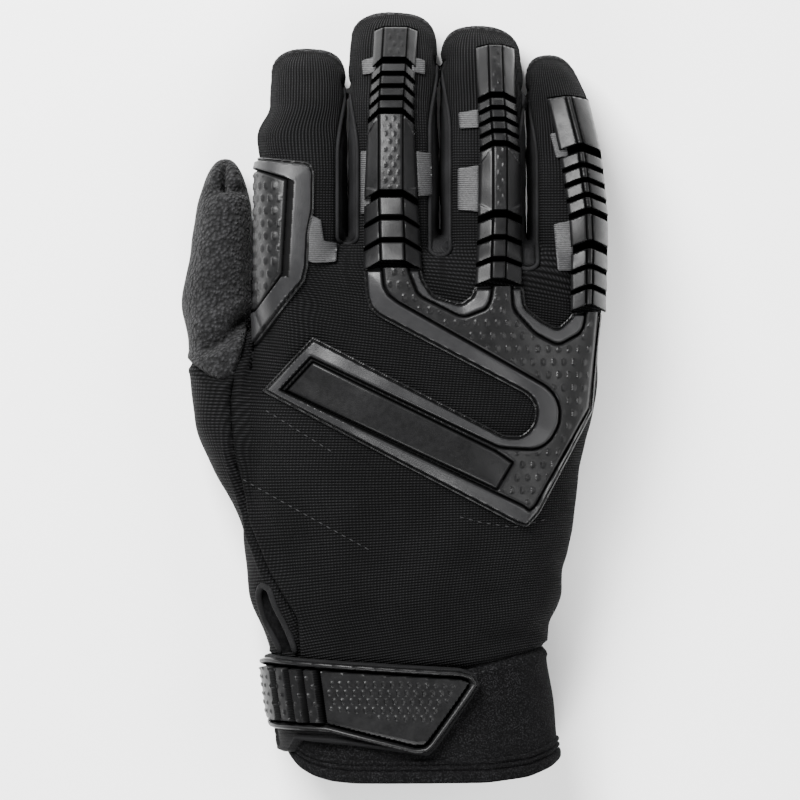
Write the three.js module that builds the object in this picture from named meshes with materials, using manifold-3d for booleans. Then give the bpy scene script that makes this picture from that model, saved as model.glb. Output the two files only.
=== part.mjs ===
// Right-hand tactical glove, lying palm down and filled out as if worn.
// Millimetres. Fingers point along +Y, the thumb lies towards -X, the back faces +Z.
// The origin is the middle of the glove's box, on the surface that it rests on.
import * as THREE from 'three';
import { mergeVertices } from 'three/addons/utils/BufferGeometryUtils.js';
import Module from 'manifold-3d';

// Driving sizes
const WALL = 2.0;
const GAP = 0.3;
const HEM_LENGTH = 4.4;
const HEM_BULGE = 0.5;
const STRAP_THICKNESS = 1.9;
const TAB_THICKNESS = 2.6;
const TAB_RIM = 0.7;
const GUARD_EDGE = 1.3;
const GUARD_CREST = 3.2;
const GUARD_RECESS = 0.7;
const SIDE_GUARD_CREST = 2.8;
const BINDING_RISE = 1.1;
const FLANGE_RISE = 1.1;
const RIB_RISE = 4.3;
const RIB_VALLEY = 1.5;
const RIB_EDGE = 1.6;
const RIB_SLOPE = 0.35;
const RIB_GAP = 1.3;
const RIB_GAP_SHARE = 0.3;
const PLATE_GAP = 0.6;
const VALLEY_EDGE = 0.75;
const CHEVRON = 1.5;
const GUARD_FOOT = 2.5;
const SIDE_RECESS = 1.1;
const BEVEL_STEP = 7;
const FOURCHETTE_HALF = 4.6;
const BACK_LEVEL = 27;
const GUSSET_SINK = 0.5;
const BINDING_WIDTH = 2.1;
const HEART_SHARE = 0.46;
const MERGE = 1e-3;

// The photograph's scale: millimetres for one of its pixels, and the pixel at the origin
const SCALE = 0.3;
const ORIGIN_PX = 394;

// The middle of the finished glove's box, which is moved onto the origin
const BOX_MIDDLE_X = -0.15;
const BOX_MIDDLE_Y = -0.15;

// Reaches well past the glove on every side, for the bodies that cut it
const HIGH = 90;
const LOW = -20;
const WIDE = 144;
const FAR_PX = { left: 100, right: 700, up: -100, down: 900 };

// Oval sections in planes of constant y: the two sides, the top and the bottom of each.
// Forms dip under the surface that the glove lies on, and are cut flat there.
const SECTION_COLUMNS = ['y', 'left', 'right', 'top', 'bottom'];

const HAND = {
  square: 2.35, sides: 16, liningSides: 10, tip: 47.5, tipLength: 13, tipPower: 2.2,
  sections: [
    [-118, -31.0, 50.4, 42.5, -1],
    [-92, -34.6, 47.8, 41, -1],
    [-77, -36.8, 45.6, 41, -1],
    [-60, -43.4, 49.2, 42.5, -1],
    [-40, -45.2, 53.4, 44.6, -1],
    [-24, -46.6, 55.4, 46.3, -1],
    [-12, -46.0, 58.0, 47.5, -0.8],
    [0, -43.8, 60.2, 48.6, 0],
    [10, -41.8, 60.9, 49.4, 3],
    [20, -40.2, 61.4, 49.8, 7.5],
    [32, -39.5, 61.9, 49.3, 11.5],
    [47.5, -39.4, 62.0, 47.6, 14],
  ],
};

const INDEX = {
  square: 2.4, sides: 12, liningSides: 8, tip: 103.8, tipLength: 9, tipPower: 2.7,
  sections: [
    [-6, -32.0, -18.0, 39.0, 16],
    [16, -38.0, -15.6, 45.2, 14],
    [36, -39.4, -14.4, 46.8, 15],
    [52, -39.3, -14.1, 44.8, 17],
    [66, -39.3, -14.1, 41.6, 17.5],
    [77, -40.8, -14.1, 38.0, 15.5],
    [87, -37.0, -14.1, 33.0, 8.5],
    [103.8, -36.6, -15.0, 18.0, -1],
  ],
};

const MIDDLE = {
  square: 2.4, sides: 12, liningSides: 8, tip: 114.9, tipLength: 9, tipPower: 2.5,
  sections: [
    [2, -10.0, 12.0, 44.0, 16],
    [26, -13.0, 14.0, 47.9, 13],
    [44, -13.6, 13.5, 47.6, 15],
    [60, -13.6, 13.3, 45.8, 18],
    [74, -13.6, 13.2, 42.8, 19.5],
    [84, -13.6, 12.7, 39.4, 16],
    [95, -13.5, 13.3, 33.6, 8.5],
    [114.9, -12.0, 12.2, 17.0, -1],
  ],
};

const RING = {
  square: 2.4, sides: 12, liningSides: 8, tip: 110.7, tipLength: 9, tipPower: 2.5,
  sections: [
    [2, 17.0, 38.0, 42.6, 16],
    [26, 14.8, 40.2, 46.2, 13],
    [44, 14.1, 39.3, 45.8, 15],
    [60, 13.9, 39.3, 43.8, 17],
    [74, 13.9, 39.2, 40.6, 18],
    [86, 13.9, 38.8, 35.8, 12.5],
    [96, 13.8, 38.4, 30.0, 5.5],
    [110.7, 14.4, 36.4, 17.2, -1],
  ],
};

const LITTLE = {
  square: 2.4, sides: 12, liningSides: 8, tip: 102.3, tipLength: 8, tipPower: 2.4,
  sections: [
    [-6, 42.0, 55.0, 33.0, 16],
    [14, 40.8, 60.6, 39.8, 13],
    [32, 40.0, 62.2, 41.4, 12.5],
    [48, 39.9, 62.7, 40.4, 14.5],
    [62, 39.9, 62.6, 38.2, 15.5],
    [76, 39.9, 60.8, 34.4, 12],
    [88, 39.7, 57.8, 28.8, 4.5],
    [102.3, 39.6, 52.4, 16.5, -1],
  ],
};

const THUMB = {
  square: 2.2, sides: 10, liningSides: 7, tip: 71.1, tipLength: 15, tipPower: 1.5,
  sections: [
    [-46, -42.0, -24.0, 28.0, 0.5],
    [-32, -49.0, -25.0, 33.0, -1],
    [-20, -55.2, -27.0, 33.6, -1],
    [-8, -59.6, -31.0, 32.2, -1],
    [4, -60.8, -36.6, 30.0, -1],
    [16, -62.0, -41.2, 27.0, -1],
    [28, -64.2, -42.4, 25.2, -1],
    [40, -61.8, -42.6, 23.6, -1],
    [54, -59.6, -43.0, 21.4, -0.8],
    [71.1, -56.4, -46.6, 17.4, 1.0],
  ],
};

const FINGERS = [INDEX, MIDDLE, RING, LITTLE];
const FORMS = [HAND, ...FINGERS, THUMB];

// Where neighbouring fingers part, and how far up the strips between them reach
const CROTCH_Y = 41;
const PARTINGS = [-13.85, 13.65, 39.6];
const STRIP_TOPS = [93, 100, 91];

// Height of the seam between the back and the palm, along the hand and then each finger
const HAND_SEAM = [
  [-WIDE, 15], [-20, 15], [10, 20], [28, 27], [CROTCH_Y, 30.5],
];
const SEAM_PAST_CROTCH = [7, 18, 29, 39];
const SEAM_BEFORE_TIP = [14, 7];
const SEAM_LAST_DROP = 3;

// Outlines in the photograph's pixels, x to the right and y down
const CUFF_TOP_PX = [[230, 655], [330, 662], [469, 666], [545, 646], [600, 634]];
const CUFF_MOUTH_PX = [
  [230, 700], [284, 728], [290, 748], [300, 760], [318, 771], [348, 777],
  [481, 776], [542, 767], [560, 756], [600, 740],
];
const BACK_SEAM_PX = [
  [252, 340], [236, 368], [230, 400], [233, 452], [250, 529], [268, 572], [296, 618],
  [299, 670],
];
const THUMB_SEAM_PX = [[150, 340], [196, 366], [218, 379], [237, 356], [252, 318]];
const SLIT_PX = [
  [260, 590], [265, 585], [272, 589], [285, 620], [296, 651], [281, 651], [267, 622],
];
const TAB_PX = [
  [200, 661], [267, 656], [460, 668], [472, 672], [477, 682], [433, 744], [427, 749],
  [416, 750], [330, 729], [273, 727], [200, 720],
];
const TAB_PANEL_PX = [[327, 671], [462, 679], [426, 738], [328, 720]];
// Each groove's left edge and width, and the rows that they run between
const TAB_GROOVES_PX = [[267, 5], [281, 5], [296, 5], [313, 6]];
const TAB_GROOVE_ROWS_PX = [650, 740];
const TAB_GROOVE_DEPTH = 1.6;
const TAB_LOWEST = 13;
const STRAP_LOWEST = 5;
const STRAP_MARGIN = 0.9;

// The knuckle guard's edge in x and y, and the line where its bevel meets the dotted panel
const KNUCKLE_PX = [
  [364, 270, 382, 266],
  [366, 297, 384, 288],
  [370, 310, 389, 297],
  [379, 318, 398, 304],
  [524, 394, 545, 387],
  [531, 401, 554, 397],
  [534, 411, 558, 409],
  [532, 423, 557, 424],
  [526, 431, 549, 440],
  [518, 436, 535, 449],
  [503, 435, 499, 447],
  [314, 338, 312, 358],
  [263, 391, 282, 390],
  [515, 523, 522, 505],
  [526, 526, 528, 510],
  [538, 513, 534, 505],
  [594, 411, 588, 408],
  [600, 345, 594, 345],
  [604, 313, 597, 309],
  [571, 313, 584, 309],
  [568, 318, 581, 332],
  [556, 329, 556, 346],
  [540, 321, 533, 334],
  [524, 308, 512, 311],
  [522, 288, 510, 284],
  [473, 288, 492, 284],
  [471, 297, 488, 309],
  [460, 305, 462, 319],
  [434, 297, 418, 297],
  [423, 281, 409, 274],
  [421, 270, 407, 266],
];
const KNUCKLE_RECESS_PX = [[314, 362], [494, 450], [512, 462], [496, 489], [287, 391]];
const KNUCKLE_LOWEST = 30;

// The index guard's edge and its crest line, and the recess inside its L frame
const SIDE_GUARD_PX = [
  [230, 160, 232, 166],
  [259, 160, 259, 165],
  [305, 166, 302, 171],
  [311, 170, 306, 176],
  [313, 181, 308, 184],
  [306, 281, 301, 279],
  [252, 343, 252, 334],
  [230, 343, 232, 334],
];
const SIDE_GUARD_RECESS_PX = [[225, 171], [291, 179], [285, 272], [252, 311], [225, 311]];
const SIDE_GUARD_FLANGE_PX = [
  [309, 216], [322, 222], [325, 243], [338, 245], [337, 263], [316, 265], [307, 262],
];

// Finger guards. Each row is a stretch from one photograph row to the next, cut across
// into as many blocks as count says. Block is the width of the flat top between the
// two side slopes, in pixels.
const STRETCH_COLUMNS = ['from', 'to', 'count', 'width', 'centreFrom', 'centreTo'];
const GUARDS = {
  finger_guard_middle: {
    block: 28,
    stretches: [
      [263, 196, 3, 58, 393, 392],
      [193, 115, 1, 53, 391, 391],
      [112, 62, 4, 46, 391, 394],
      [60, 26, 1, 43, 394, 396],
    ],
    flanges: [
      [[416, 154], [431, 156], [432, 197], [418, 199]],
      [[361, 154], [371, 154], [371, 216], [361, 216]],
      [[362, 62], [376, 58], [376, 74], [363, 77]],
      [[412, 58], [425, 62], [425, 76], [412, 74]],
    ],
  },
  finger_guard_ring: {
    block: 15,
    stretches: [
      [281, 216, 3, 46, 497, 498],
      [213, 147, 1, 44, 499, 500],
      [144, 97, 4, 40, 499, 497],
      [95, 44, 1, 38, 496, 495],
    ],
    flanges: [
      [[457, 171], [478, 168], [478, 214], [457, 212]],
      [[458, 115], [478, 112], [478, 130], [459, 131]],
    ],
  },
  finger_guard_little: {
    block: 7,
    stretches: [
      [306, 246, 3, 36, 587, 587],
      [242, 214, 1, 38, 588, 588],
      [210, 150, 4, 40, 587, 580],
      [146, 96, 1, 42, 579, 567],
    ],
    flanges: [
      [[552, 226], [571, 222], [571, 272], [556, 272]],
      [[549, 136], [562, 132], [567, 158], [555, 160]],
    ],
  },
};

const COLOURS = {
  knit: 0x1b1b1d,
  suede: 0x2b2b2d,
  lycra: 0x161617,
  fuzzy: 0x0d0d0e,
  neoprene: 0x1a1a1b,
  strap: 0x151516,
  rubber: 0x222224,
};
const ROUGHNESS = {
  knit: 0.92, suede: 0.9, lycra: 0.7, fuzzy: 1, neoprene: 0.85, strap: 0.8, rubber: 0.42,
};

const wasm = await Module();
wasm.setup();

// Tables and curves

function named(columns, row) {
  return Object.fromEntries(columns.map((name, i) => [name, row[i]]));
}

function fromPhoto([x, y]) {
  return [(x - ORIGIN_PX) * SCALE, (ORIGIN_PX - y) * SCALE];
}

// Slope at each row that keeps a smooth curve from passing the rows' own values.
function steadySlopes(ys, values) {
  const steps = values.slice(1).map((v, i) => (v - values[i]) / (ys[i + 1] - ys[i]));
  return values.map((_, i) => {
    const before = steps[Math.max(i - 1, 0)];
    const after = steps[Math.min(i, steps.length - 1)];
    return before * after <= 0 ? 0 : (2 * before * after) / (before + after);
  });
}

function smoothTable(rows) {
  const ys = rows.map((row) => row[0]);
  const curves = SECTION_COLUMNS.slice(1).map((name, c) => {
    const values = rows.map((row) => row[c + 1]);
    return { name, values, slopes: steadySlopes(ys, values) };
  });
  return (y) => {
    const inside = Math.min(Math.max(y, ys[0]), ys[ys.length - 1]);
    const i = Math.min(ys.findLastIndex((start) => start <= inside), ys.length - 2);
    const span = ys[i + 1] - ys[i];
    const t = (inside - ys[i]) / span;
    const rise = 3 * t ** 2 - 2 * t ** 3;
    const leave = t ** 3 - 2 * t ** 2 + t;
    const arrive = t ** 3 - t ** 2;
    return Object.fromEntries(curves.map(({ name, values, slopes }) => {
      const straight = values[i] + (values[i + 1] - values[i]) * rise;
      const bend = (slopes[i] * leave + slopes[i + 1] * arrive) * span;
      return [name, straight + bend];
    }));
  };
}

for (const form of FORMS) {
  form.at = smoothTable(form.sections);
  form.start = form.sections[0][0];
}

// A section swollen by rise on every side. Past tip - tipLength it shrinks to a blunt end.
function sectionOf(form, y, rise) {
  const { left, right, top, bottom } = form.at(y);
  const tip = form.tip + rise;
  const along = Math.max(0, (y - (tip - form.tipLength)) / form.tipLength);
  const shrink = Math.max(0, 1 - Math.min(along, 1) ** form.tipPower) ** (1 / form.tipPower);
  const half = (right - left) / 2 + rise;
  const middle = (left + right) / 2;
  const heart = bottom + (top - bottom) * HEART_SHARE;
  return {
    middle,
    heart,
    half: half * shrink,
    up: (top + rise - heart) * shrink,
    down: (heart - bottom + rise) * shrink,
  };
}

function ovalRing(form, y, rise) {
  const { middle, heart, half, up, down } = sectionOf(form, y, rise);
  const power = 2 / form.square;
  const sides = rise < 0 ? form.liningSides : form.sides;
  return Array.from({ length: sides }, (_, i) => {
    const angle = (i / sides) * Math.PI * 2;
    const c = Math.cos(angle);
    const s = Math.sin(angle);
    const across = Math.sign(c) * Math.abs(c) ** power * half;
    const height = Math.abs(s) ** power * (s > 0 ? up : -down);
    return new THREE.Vector3(middle + across, y, heart + height);
  });
}

// Degrees round a tip's curve at which it has its rings
const TIP_ANGLES = [0, 42, 75];
const TIP_CLEARANCE = 2;

function stationsOf(form, rise) {
  const tubeEnd = form.tip + rise - form.tipLength;
  const tube = form.sections.map(([y]) => y).filter((y) => y < tubeEnd - TIP_CLEARANCE);
  const reaches = TIP_ANGLES.map((angle) => Math.sin(THREE.MathUtils.degToRad(angle)));
  return [...tube, ...reaches.map((reach) => tubeEnd + form.tipLength * reach)];
}

// Height of the outer skin above a point of the resting surface.
function skinHeight(x, y) {
  return Math.max(...FORMS.map((form) => {
    if (y < form.start || y > form.tip) return 0;
    const { middle, heart, half, up } = sectionOf(form, y, 0);
    const across = Math.min(Math.abs(x - middle) / half, 1);
    return heart + up * (1 - across ** form.square) ** (1 / form.square);
  }));
}

// Solids

// Closed body through rings of equal length, each running the same way round.
function skinned(rings, firstCap, lastCap) {
  const size = rings[0].length;
  const positions = rings.flat().flatMap((p) => [p.x, p.y, p.z]);
  const faces = [];
  for (let r = 0; r + 1 < rings.length; r += 1) {
    for (let i = 0; i < size; i += 1) {
      const a = r * size + i;
      const b = r * size + ((i + 1) % size);
      faces.push(a, b, b + size, a, b + size, a + size);
    }
  }
  const last = (rings.length - 1) * size;
  for (const [a, b, c] of firstCap) faces.push(a, c, b);
  for (const [a, b, c] of lastCap) faces.push(last + a, last + b, last + c);
  const geometry = new THREE.BufferGeometry();
  geometry.setAttribute('position', new THREE.Float32BufferAttribute(positions, 3));
  geometry.setIndex(faces);
  return geometry;
}

function fan(size) {
  return Array.from({ length: size - 2 }, (_, i) => [0, i + 1, i + 2]);
}

function solidOf(geometry) {
  geometry.deleteAttribute('normal');
  geometry.deleteAttribute('uv');
  const merged = mergeVertices(geometry, MERGE);
  return new wasm.Manifold(new wasm.Mesh({
    numProp: 3,
    vertProperties: new Float32Array(merged.attributes.position.array),
    triVerts: new Uint32Array(merged.index.array),
  }));
}

function formSolid(form, rise) {
  const rings = stationsOf(form, rise).map((y) => ovalRing(form, y, rise).reverse());
  return solidOf(skinned(rings, fan(rings[0].length), fan(rings[0].length)));
}

function join(solids) {
  return solids.reduce((sum, solid) => sum.add(solid));
}

const swollenForms = new Map();

// The whole glove's outer form, swollen by rise, or shrunk where rise is negative.
function swollen(rise) {
  if (!swollenForms.has(rise)) {
    swollenForms.set(rise, join(FORMS.map((form) => formSolid(form, rise))));
  }
  return swollenForms.get(rise);
}

function prism(outline, from = LOW, to = HIGH) {
  const shape = new THREE.Shape(outline.map(([x, y]) => new THREE.Vector2(x, y)));
  const geometry = new THREE.ExtrudeGeometry(shape, { depth: to - from, bevelEnabled: false });
  return solidOf(geometry.translate(0, 0, from));
}

function photoPrism(outline, from, to) {
  return prism(outline.map(fromPhoto), from, to);
}

// A side profile in y and z, drawn out along x.
function sideways(profile, from, to) {
  const shape = new THREE.Shape(profile.map(([y, z]) => new THREE.Vector2(y, z)));
  const geometry = new THREE.ExtrudeGeometry(shape, { depth: 1, bevelEnabled: false });
  const turn = new THREE.Matrix4().makeBasis(
    new THREE.Vector3(0, 1, 0), new THREE.Vector3(0, 0, 1), new THREE.Vector3(to - from, 0, 0),
  ).setPosition(from, 0, 0);
  return solidOf(geometry.applyMatrix4(turn));
}

function slab(from, to) {
  return prism([[-WIDE, -WIDE], [WIDE, -WIDE], [WIDE, WIDE], [-WIDE, WIDE]], from, to);
}

function turnsClockwise(outline) {
  return THREE.ShapeUtils.isClockWise(outline.map(([x, y]) => new THREE.Vector2(x, y)));
}

// Sharpest corner, as a cosine, that keeps its full margin when an outline grows
const BLUNTEST = 0.4;

// A closed outline moved outwards by margin along its corners' bisectors.
function grown(outline, margin) {
  const turning = turnsClockwise(outline) ? -1 : 1;
  return outline.map((point, i) => {
    const before = outline[(i + outline.length - 1) % outline.length];
    const after = outline[(i + 1) % outline.length];
    const into = new THREE.Vector2(point[0] - before[0], point[1] - before[1]).normalize();
    const out = new THREE.Vector2(after[0] - point[0], after[1] - point[1]).normalize();
    const normal = new THREE.Vector2(into.y + out.y, -into.x - out.x).normalize();
    const spread = margin / Math.max(normal.dot(new THREE.Vector2(into.y, -into.x)), BLUNTEST);
    return [point[0] + normal.x * spread * turning, point[1] + normal.y * spread * turning];
  });
}

// How far a plate's raw body runs below the skin and above it, before it is cut to the skin,
// and how far its crest passes the cut
const PLATE_ROOT = 4;
const PLATE_HEAD = 12;
const CREST_OVER = 0.05;

// Rows of numbers with steps of no more than about step added along the closed line.
function densified(rows, step) {
  return rows.flatMap((row, i) => {
    const next = rows[(i + 1) % rows.length];
    const length = Math.hypot(next[0] - row[0], next[1] - row[1]) * SCALE;
    const parts = Math.max(1, Math.round(length / step));
    return Array.from({ length: parts }, (_, k) => (
      row.map((value, c) => value + ((next[c] - value) * k) / parts)
    ));
  });
}

function capOf(outline) {
  return THREE.ShapeUtils.triangulateShape(outline.map(([x, y]) => new THREE.Vector2(x, y)), []);
}

function liftedRing(outline, rise) {
  return outline.map(([x, y]) => new THREE.Vector3(x, y, skinHeight(x, y) + rise));
}

// A plate on the skin: its wall stands on the edge line, slopes up to the crest line,
// and its top follows the skin.
function bevelledPlate(pairs, edgeRise, crestRise) {
  const dense = densified(pairs, BEVEL_STEP);
  const edge = dense.map((row) => fromPhoto([row[0], row[1]]));
  const crest = dense.map((row) => fromPhoto([row[2], row[3]]));
  if (turnsClockwise(edge)) {
    edge.reverse();
    crest.reverse();
  }
  const rings = [
    liftedRing(edge, -PLATE_ROOT), liftedRing(edge, edgeRise),
    liftedRing(crest, crestRise + CREST_OVER), liftedRing(crest, PLATE_HEAD),
  ];
  const body = solidOf(skinned(rings, capOf(edge), capOf(crest)));
  return body.intersect(swollen(crestRise)).subtract(swollen(GAP));
}

function layer(outline, lower, upper) {
  return photoPrism(outline).intersect(swollen(upper)).subtract(swollen(lower));
}

// The largest body of a solid, without the crumbs that a cut can leave.
function mainBody(solid) {
  return solid.decompose().reduce((best, body) => (body.volume() > best.volume() ? body : best));
}

// The shell of the whole glove

const above = slab(0, HIGH);
const aboveLining = slab(WALL, HIGH);
const hollow = swollen(-WALL).intersect(aboveLining);
const shell = swollen(0).intersect(above).subtract(hollow);

// Seams

// The seam's line in y and z: along the hand, then half way up one finger to its tip.
function seamOf(finger, offset) {
  const ys = [
    ...SEAM_PAST_CROTCH.map((step) => CROTCH_Y + step),
    ...SEAM_BEFORE_TIP.map((step) => finger.tip - step),
  ];
  const rows = ys.map((y) => [y, (finger.at(y).top + finger.at(y).bottom) / 2 + offset]);
  const end = rows[rows.length - 1][1] - SEAM_LAST_DROP;
  return [...HAND_SEAM.map(([y, z]) => [y, z + offset]), ...rows, [WIDE, end]];
}

const COLUMN_EDGES = [-WIDE, ...PARTINGS, WIDE];

function aboveSeam(offset) {
  return join(FINGERS.map((finger, i) => sideways(
    [...seamOf(finger, offset), [WIDE, HIGH], [-WIDE, HIGH]], COLUMN_EDGES[i], COLUMN_EDGES[i + 1],
  )));
}

function belowSeam(offset) {
  return join(FINGERS.map((finger, i) => sideways(
    [[-WIDE, LOW], [WIDE, LOW], ...seamOf(finger, offset).reverse()],
    COLUMN_EDGES[i], COLUMN_EDGES[i + 1],
  )));
}

// The seam of one finger between two values of y, moved up by lift.
function seamStretch(finger, from, to, lift) {
  const seam = seamOf(finger, lift);
  const heightAt = (y) => {
    const k = seam.findIndex((row) => row[0] >= y);
    const t = (y - seam[k - 1][0]) / (seam[k][0] - seam[k - 1][0]);
    return seam[k - 1][1] + (seam[k][1] - seam[k - 1][1]) * t;
  };
  const within = seam.filter(([y]) => y > from && y < to);
  return [[from, heightAt(from)], ...within, [to, heightAt(to)]];
}

function middleOf(form) {
  const { left, right } = form.at((CROTCH_Y + form.tip) / 2);
  return (left + right) / 2;
}

// The strip between two fingers: a band along the seam from one finger's middle to the next's.
function stripZone(i, margin) {
  const band = FOURCHETTE_HALF + margin;
  const from = CROTCH_Y - margin;
  const to = STRIP_TOPS[i] + margin;
  const profileOf = (finger) => [
    ...seamStretch(finger, from, to, -band), ...seamStretch(finger, from, to, band).reverse(),
  ];
  const [before, after] = [FINGERS[i], FINGERS[i + 1]];
  return join([
    sideways(profileOf(before), middleOf(before), PARTINGS[i]),
    sideways(profileOf(after), PARTINGS[i], middleOf(after)),
  ]);
}

const strips = PARTINGS.map((_, i) => stripZone(i, 0));
const stripRoom = join(PARTINGS.map((_, i) => stripZone(i, GAP)));

// Zones of the view from above. Each runs out past the glove from its seam, and shift
// moves the seam, in millimetres: towards the fingertips, towards the thumb, or both.

function moved(outline, left, up) {
  return outline.map(([x, y]) => [x - left / SCALE, y - up / SCALE]);
}

function cuffZoneAt(shift) {
  const seam = moved(CUFF_TOP_PX, 0, shift);
  return photoPrism([
    ...seam, [FAR_PX.right, seam[seam.length - 1][1]], [FAR_PX.right, FAR_PX.down],
    [FAR_PX.left, FAR_PX.down], [FAR_PX.left, seam[0][1]],
  ]);
}

function mouthAt(shift) {
  const mouth = moved(CUFF_MOUTH_PX, 0, shift);
  return photoPrism([
    [FAR_PX.left, mouth[0][1]], ...mouth, [FAR_PX.right, mouth[mouth.length - 1][1]],
    [FAR_PX.right, FAR_PX.up], [FAR_PX.left, FAR_PX.up],
  ]);
}

function thumbZone(shift) {
  const seam = moved(THUMB_SEAM_PX, shift, shift);
  return photoPrism([
    ...seam, [seam[seam.length - 1][0], FAR_PX.up], [FAR_PX.left, FAR_PX.up],
    [FAR_PX.left, seam[0][1]],
  ]);
}

function sideZone(shift) {
  const seam = moved(BACK_SEAM_PX, shift, 0);
  return photoPrism([
    ...seam, [FAR_PX.left, seam[seam.length - 1][1]], [FAR_PX.left, seam[0][1]],
  ]);
}

const cuffRoom = cuffZoneAt(GAP);

const SLIT_DEPTH = 8;
const BINDING_DEPTH = 2;
const slitOutline = SLIT_PX.map(fromPhoto);
const slit = prism(slitOutline, BACK_LEVEL - SLIT_DEPTH, HIGH);
const slitRoom = prism(grown(slitOutline, GAP), BACK_LEVEL - SLIT_DEPTH, HIGH);

// Fabric pieces

const handShell = shell.subtract(cuffRoom);
const upperShell = handShell.intersect(aboveSeam(GAP / 2));
const lowerShell = handShell.intersect(belowSeam(-GAP / 2));
const thumbRoom = thumbZone(-GAP);
const sideRoom = sideZone(-GAP);

const backPanel = upperShell.subtract(join([stripRoom, thumbRoom, sideRoom, slitRoom]));
const palmPanel = lowerShell.subtract(stripRoom).subtract(thumbRoom);
const thumbPanel = handShell.intersect(thumbZone(0));
const sidePanel = upperShell.intersect(sideZone(0)).subtract(thumbRoom).subtract(slitRoom);
const fourchettes = strips.map((zone) => handShell.intersect(zone));
const slitGusset = slit.intersect(swollen(-GUSSET_SINK)).subtract(swollen(-WALL)).subtract(cuffRoom);

const tabOutline = TAB_PX.map(fromPhoto);
const strapRoom = prism(grown(tabOutline, STRAP_MARGIN + GAP), LOW, HIGH);
const slitBinding = prism(grown(slitOutline, BINDING_WIDTH), BACK_LEVEL - BINDING_DEPTH, HIGH)
  .subtract(join([slitRoom, cuffRoom, strapRoom]))
  .intersect(swollen(BINDING_RISE)).subtract(swollen(GAP));

const cuff = shell.intersect(cuffZoneAt(0)).intersect(mouthAt(HEM_LENGTH + GAP));
const cuffHem = swollen(HEM_BULGE).intersect(above).subtract(hollow)
  .subtract(mouthAt(HEM_LENGTH)).intersect(mouthAt(0));

// Strap and tab

const hemRoom = swollen(HEM_BULGE + GAP).subtract(mouthAt(HEM_LENGTH + GAP));
const strapRise = GAP + STRAP_THICKNESS;
const tabRise = strapRise + GAP + TAB_THICKNESS;
const strap = prism(grown(tabOutline, STRAP_MARGIN), STRAP_LOWEST, HIGH)
  .intersect(swollen(strapRise)).subtract(swollen(GAP)).subtract(hemRoom);
const tabPanel = photoPrism(TAB_PANEL_PX).subtract(swollen(tabRise - TAB_RIM));
const [grooveTop, grooveEnd] = TAB_GROOVE_ROWS_PX;
const tabGrooves = join(TAB_GROOVES_PX.map(([x, width]) => photoPrism([
  [x, grooveTop], [x + width, grooveTop], [x + width, grooveEnd], [x, grooveEnd],
]).subtract(swollen(tabRise - TAB_GROOVE_DEPTH))));
const tab = prism(tabOutline, TAB_LOWEST, HIGH).intersect(swollen(tabRise))
  .subtract(swollen(strapRise + GAP)).subtract(tabPanel).subtract(tabGrooves);

// Rubber guards

const knuckleRecess = photoPrism(KNUCKLE_RECESS_PX).subtract(swollen(GUARD_CREST - GUARD_RECESS));
const knuckleGuard = bevelledPlate(KNUCKLE_PX, GUARD_EDGE, GUARD_CREST)
  .subtract(knuckleRecess).intersect(slab(KNUCKLE_LOWEST, HIGH));

const sideRecess = photoPrism(SIDE_GUARD_RECESS_PX).subtract(swollen(SIDE_GUARD_CREST - SIDE_RECESS));
const sideGuard = bevelledPlate(SIDE_GUARD_PX, GUARD_EDGE, SIDE_GUARD_CREST)
  .subtract(sideRecess).add(layer(SIDE_GUARD_FLANGE_PX, GAP, FLANGE_RISE))
  .intersect(slab(BACK_LEVEL, HIGH));

// One cross ring of a finger guard: a flat-topped block between two sloping side plates.
function guardRing(y, centre, halfWidth, halfBlock, rise, edgeRise) {
  const points = [
    [-halfWidth, -CHEVRON, -GUARD_FOOT],
    [halfWidth, -CHEVRON, -GUARD_FOOT],
    [halfWidth, -CHEVRON, edgeRise],
    [halfBlock, 0, rise],
    [-halfBlock, 0, rise],
    [-halfWidth, -CHEVRON, edgeRise],
  ];
  return points.map(([across, along, lift]) => {
    const x = centre + across;
    const skin = skinHeight(x, y + along);
    return new THREE.Vector3(x, y + along, skin + lift);
  });
}

// Where one block rises, runs level and falls again, as [y, whether it is up].
function blockSteps(from, to, single) {
  const middle = single ? [(from + to) / 2] : [];
  const level = [from + RIB_SLOPE, ...middle, to - RIB_SLOPE];
  return [[from, false], ...level.map((y) => [y, true]), [to, false]];
}

function stretchRings(stretch, halfBlock) {
  const [, start] = fromPhoto([0, stretch.from]);
  const [, end] = fromPhoto([0, stretch.to]);
  const single = stretch.count === 1;
  const pitch = (end - start) / stretch.count;
  const gap = single ? PLATE_GAP : Math.min(pitch * RIB_GAP_SHARE, RIB_GAP);
  const steps = Array.from({ length: stretch.count }, (_, i) => (
    blockSteps(start + pitch * i, start + pitch * (i + 1) - gap, single)
  )).flat();
  return steps.map(([y, up]) => {
    const t = (y - start) / (end - start);
    const [centre] = fromPhoto([THREE.MathUtils.lerp(stretch.centreFrom, stretch.centreTo, t), 0]);
    const rise = up ? RIB_RISE : RIB_VALLEY;
    const edgeRise = up ? RIB_EDGE : VALLEY_EDGE;
    return guardRing(y, centre, (stretch.width * SCALE) / 2, halfBlock, rise, edgeRise);
  });
}

function fingerGuard(guard) {
  const stretches = guard.stretches.map((row) => named(STRETCH_COLUMNS, row));
  const rings = stretches.flatMap((stretch) => stretchRings(stretch, (guard.block * SCALE) / 2));
  const cap = fan(rings[0].length);
  const body = solidOf(skinned(rings.map((ring) => ring.reverse()), cap, cap));
  const flanges = guard.flanges.map((outline) => layer(outline, GAP, FLANGE_RISE));
  return join([body, ...flanges]).subtract(swollen(GAP));
}

// The scene graph

const glove = new THREE.Group();
glove.position.set(-BOX_MIDDLE_X, -BOX_MIDDLE_Y, 0);

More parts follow.
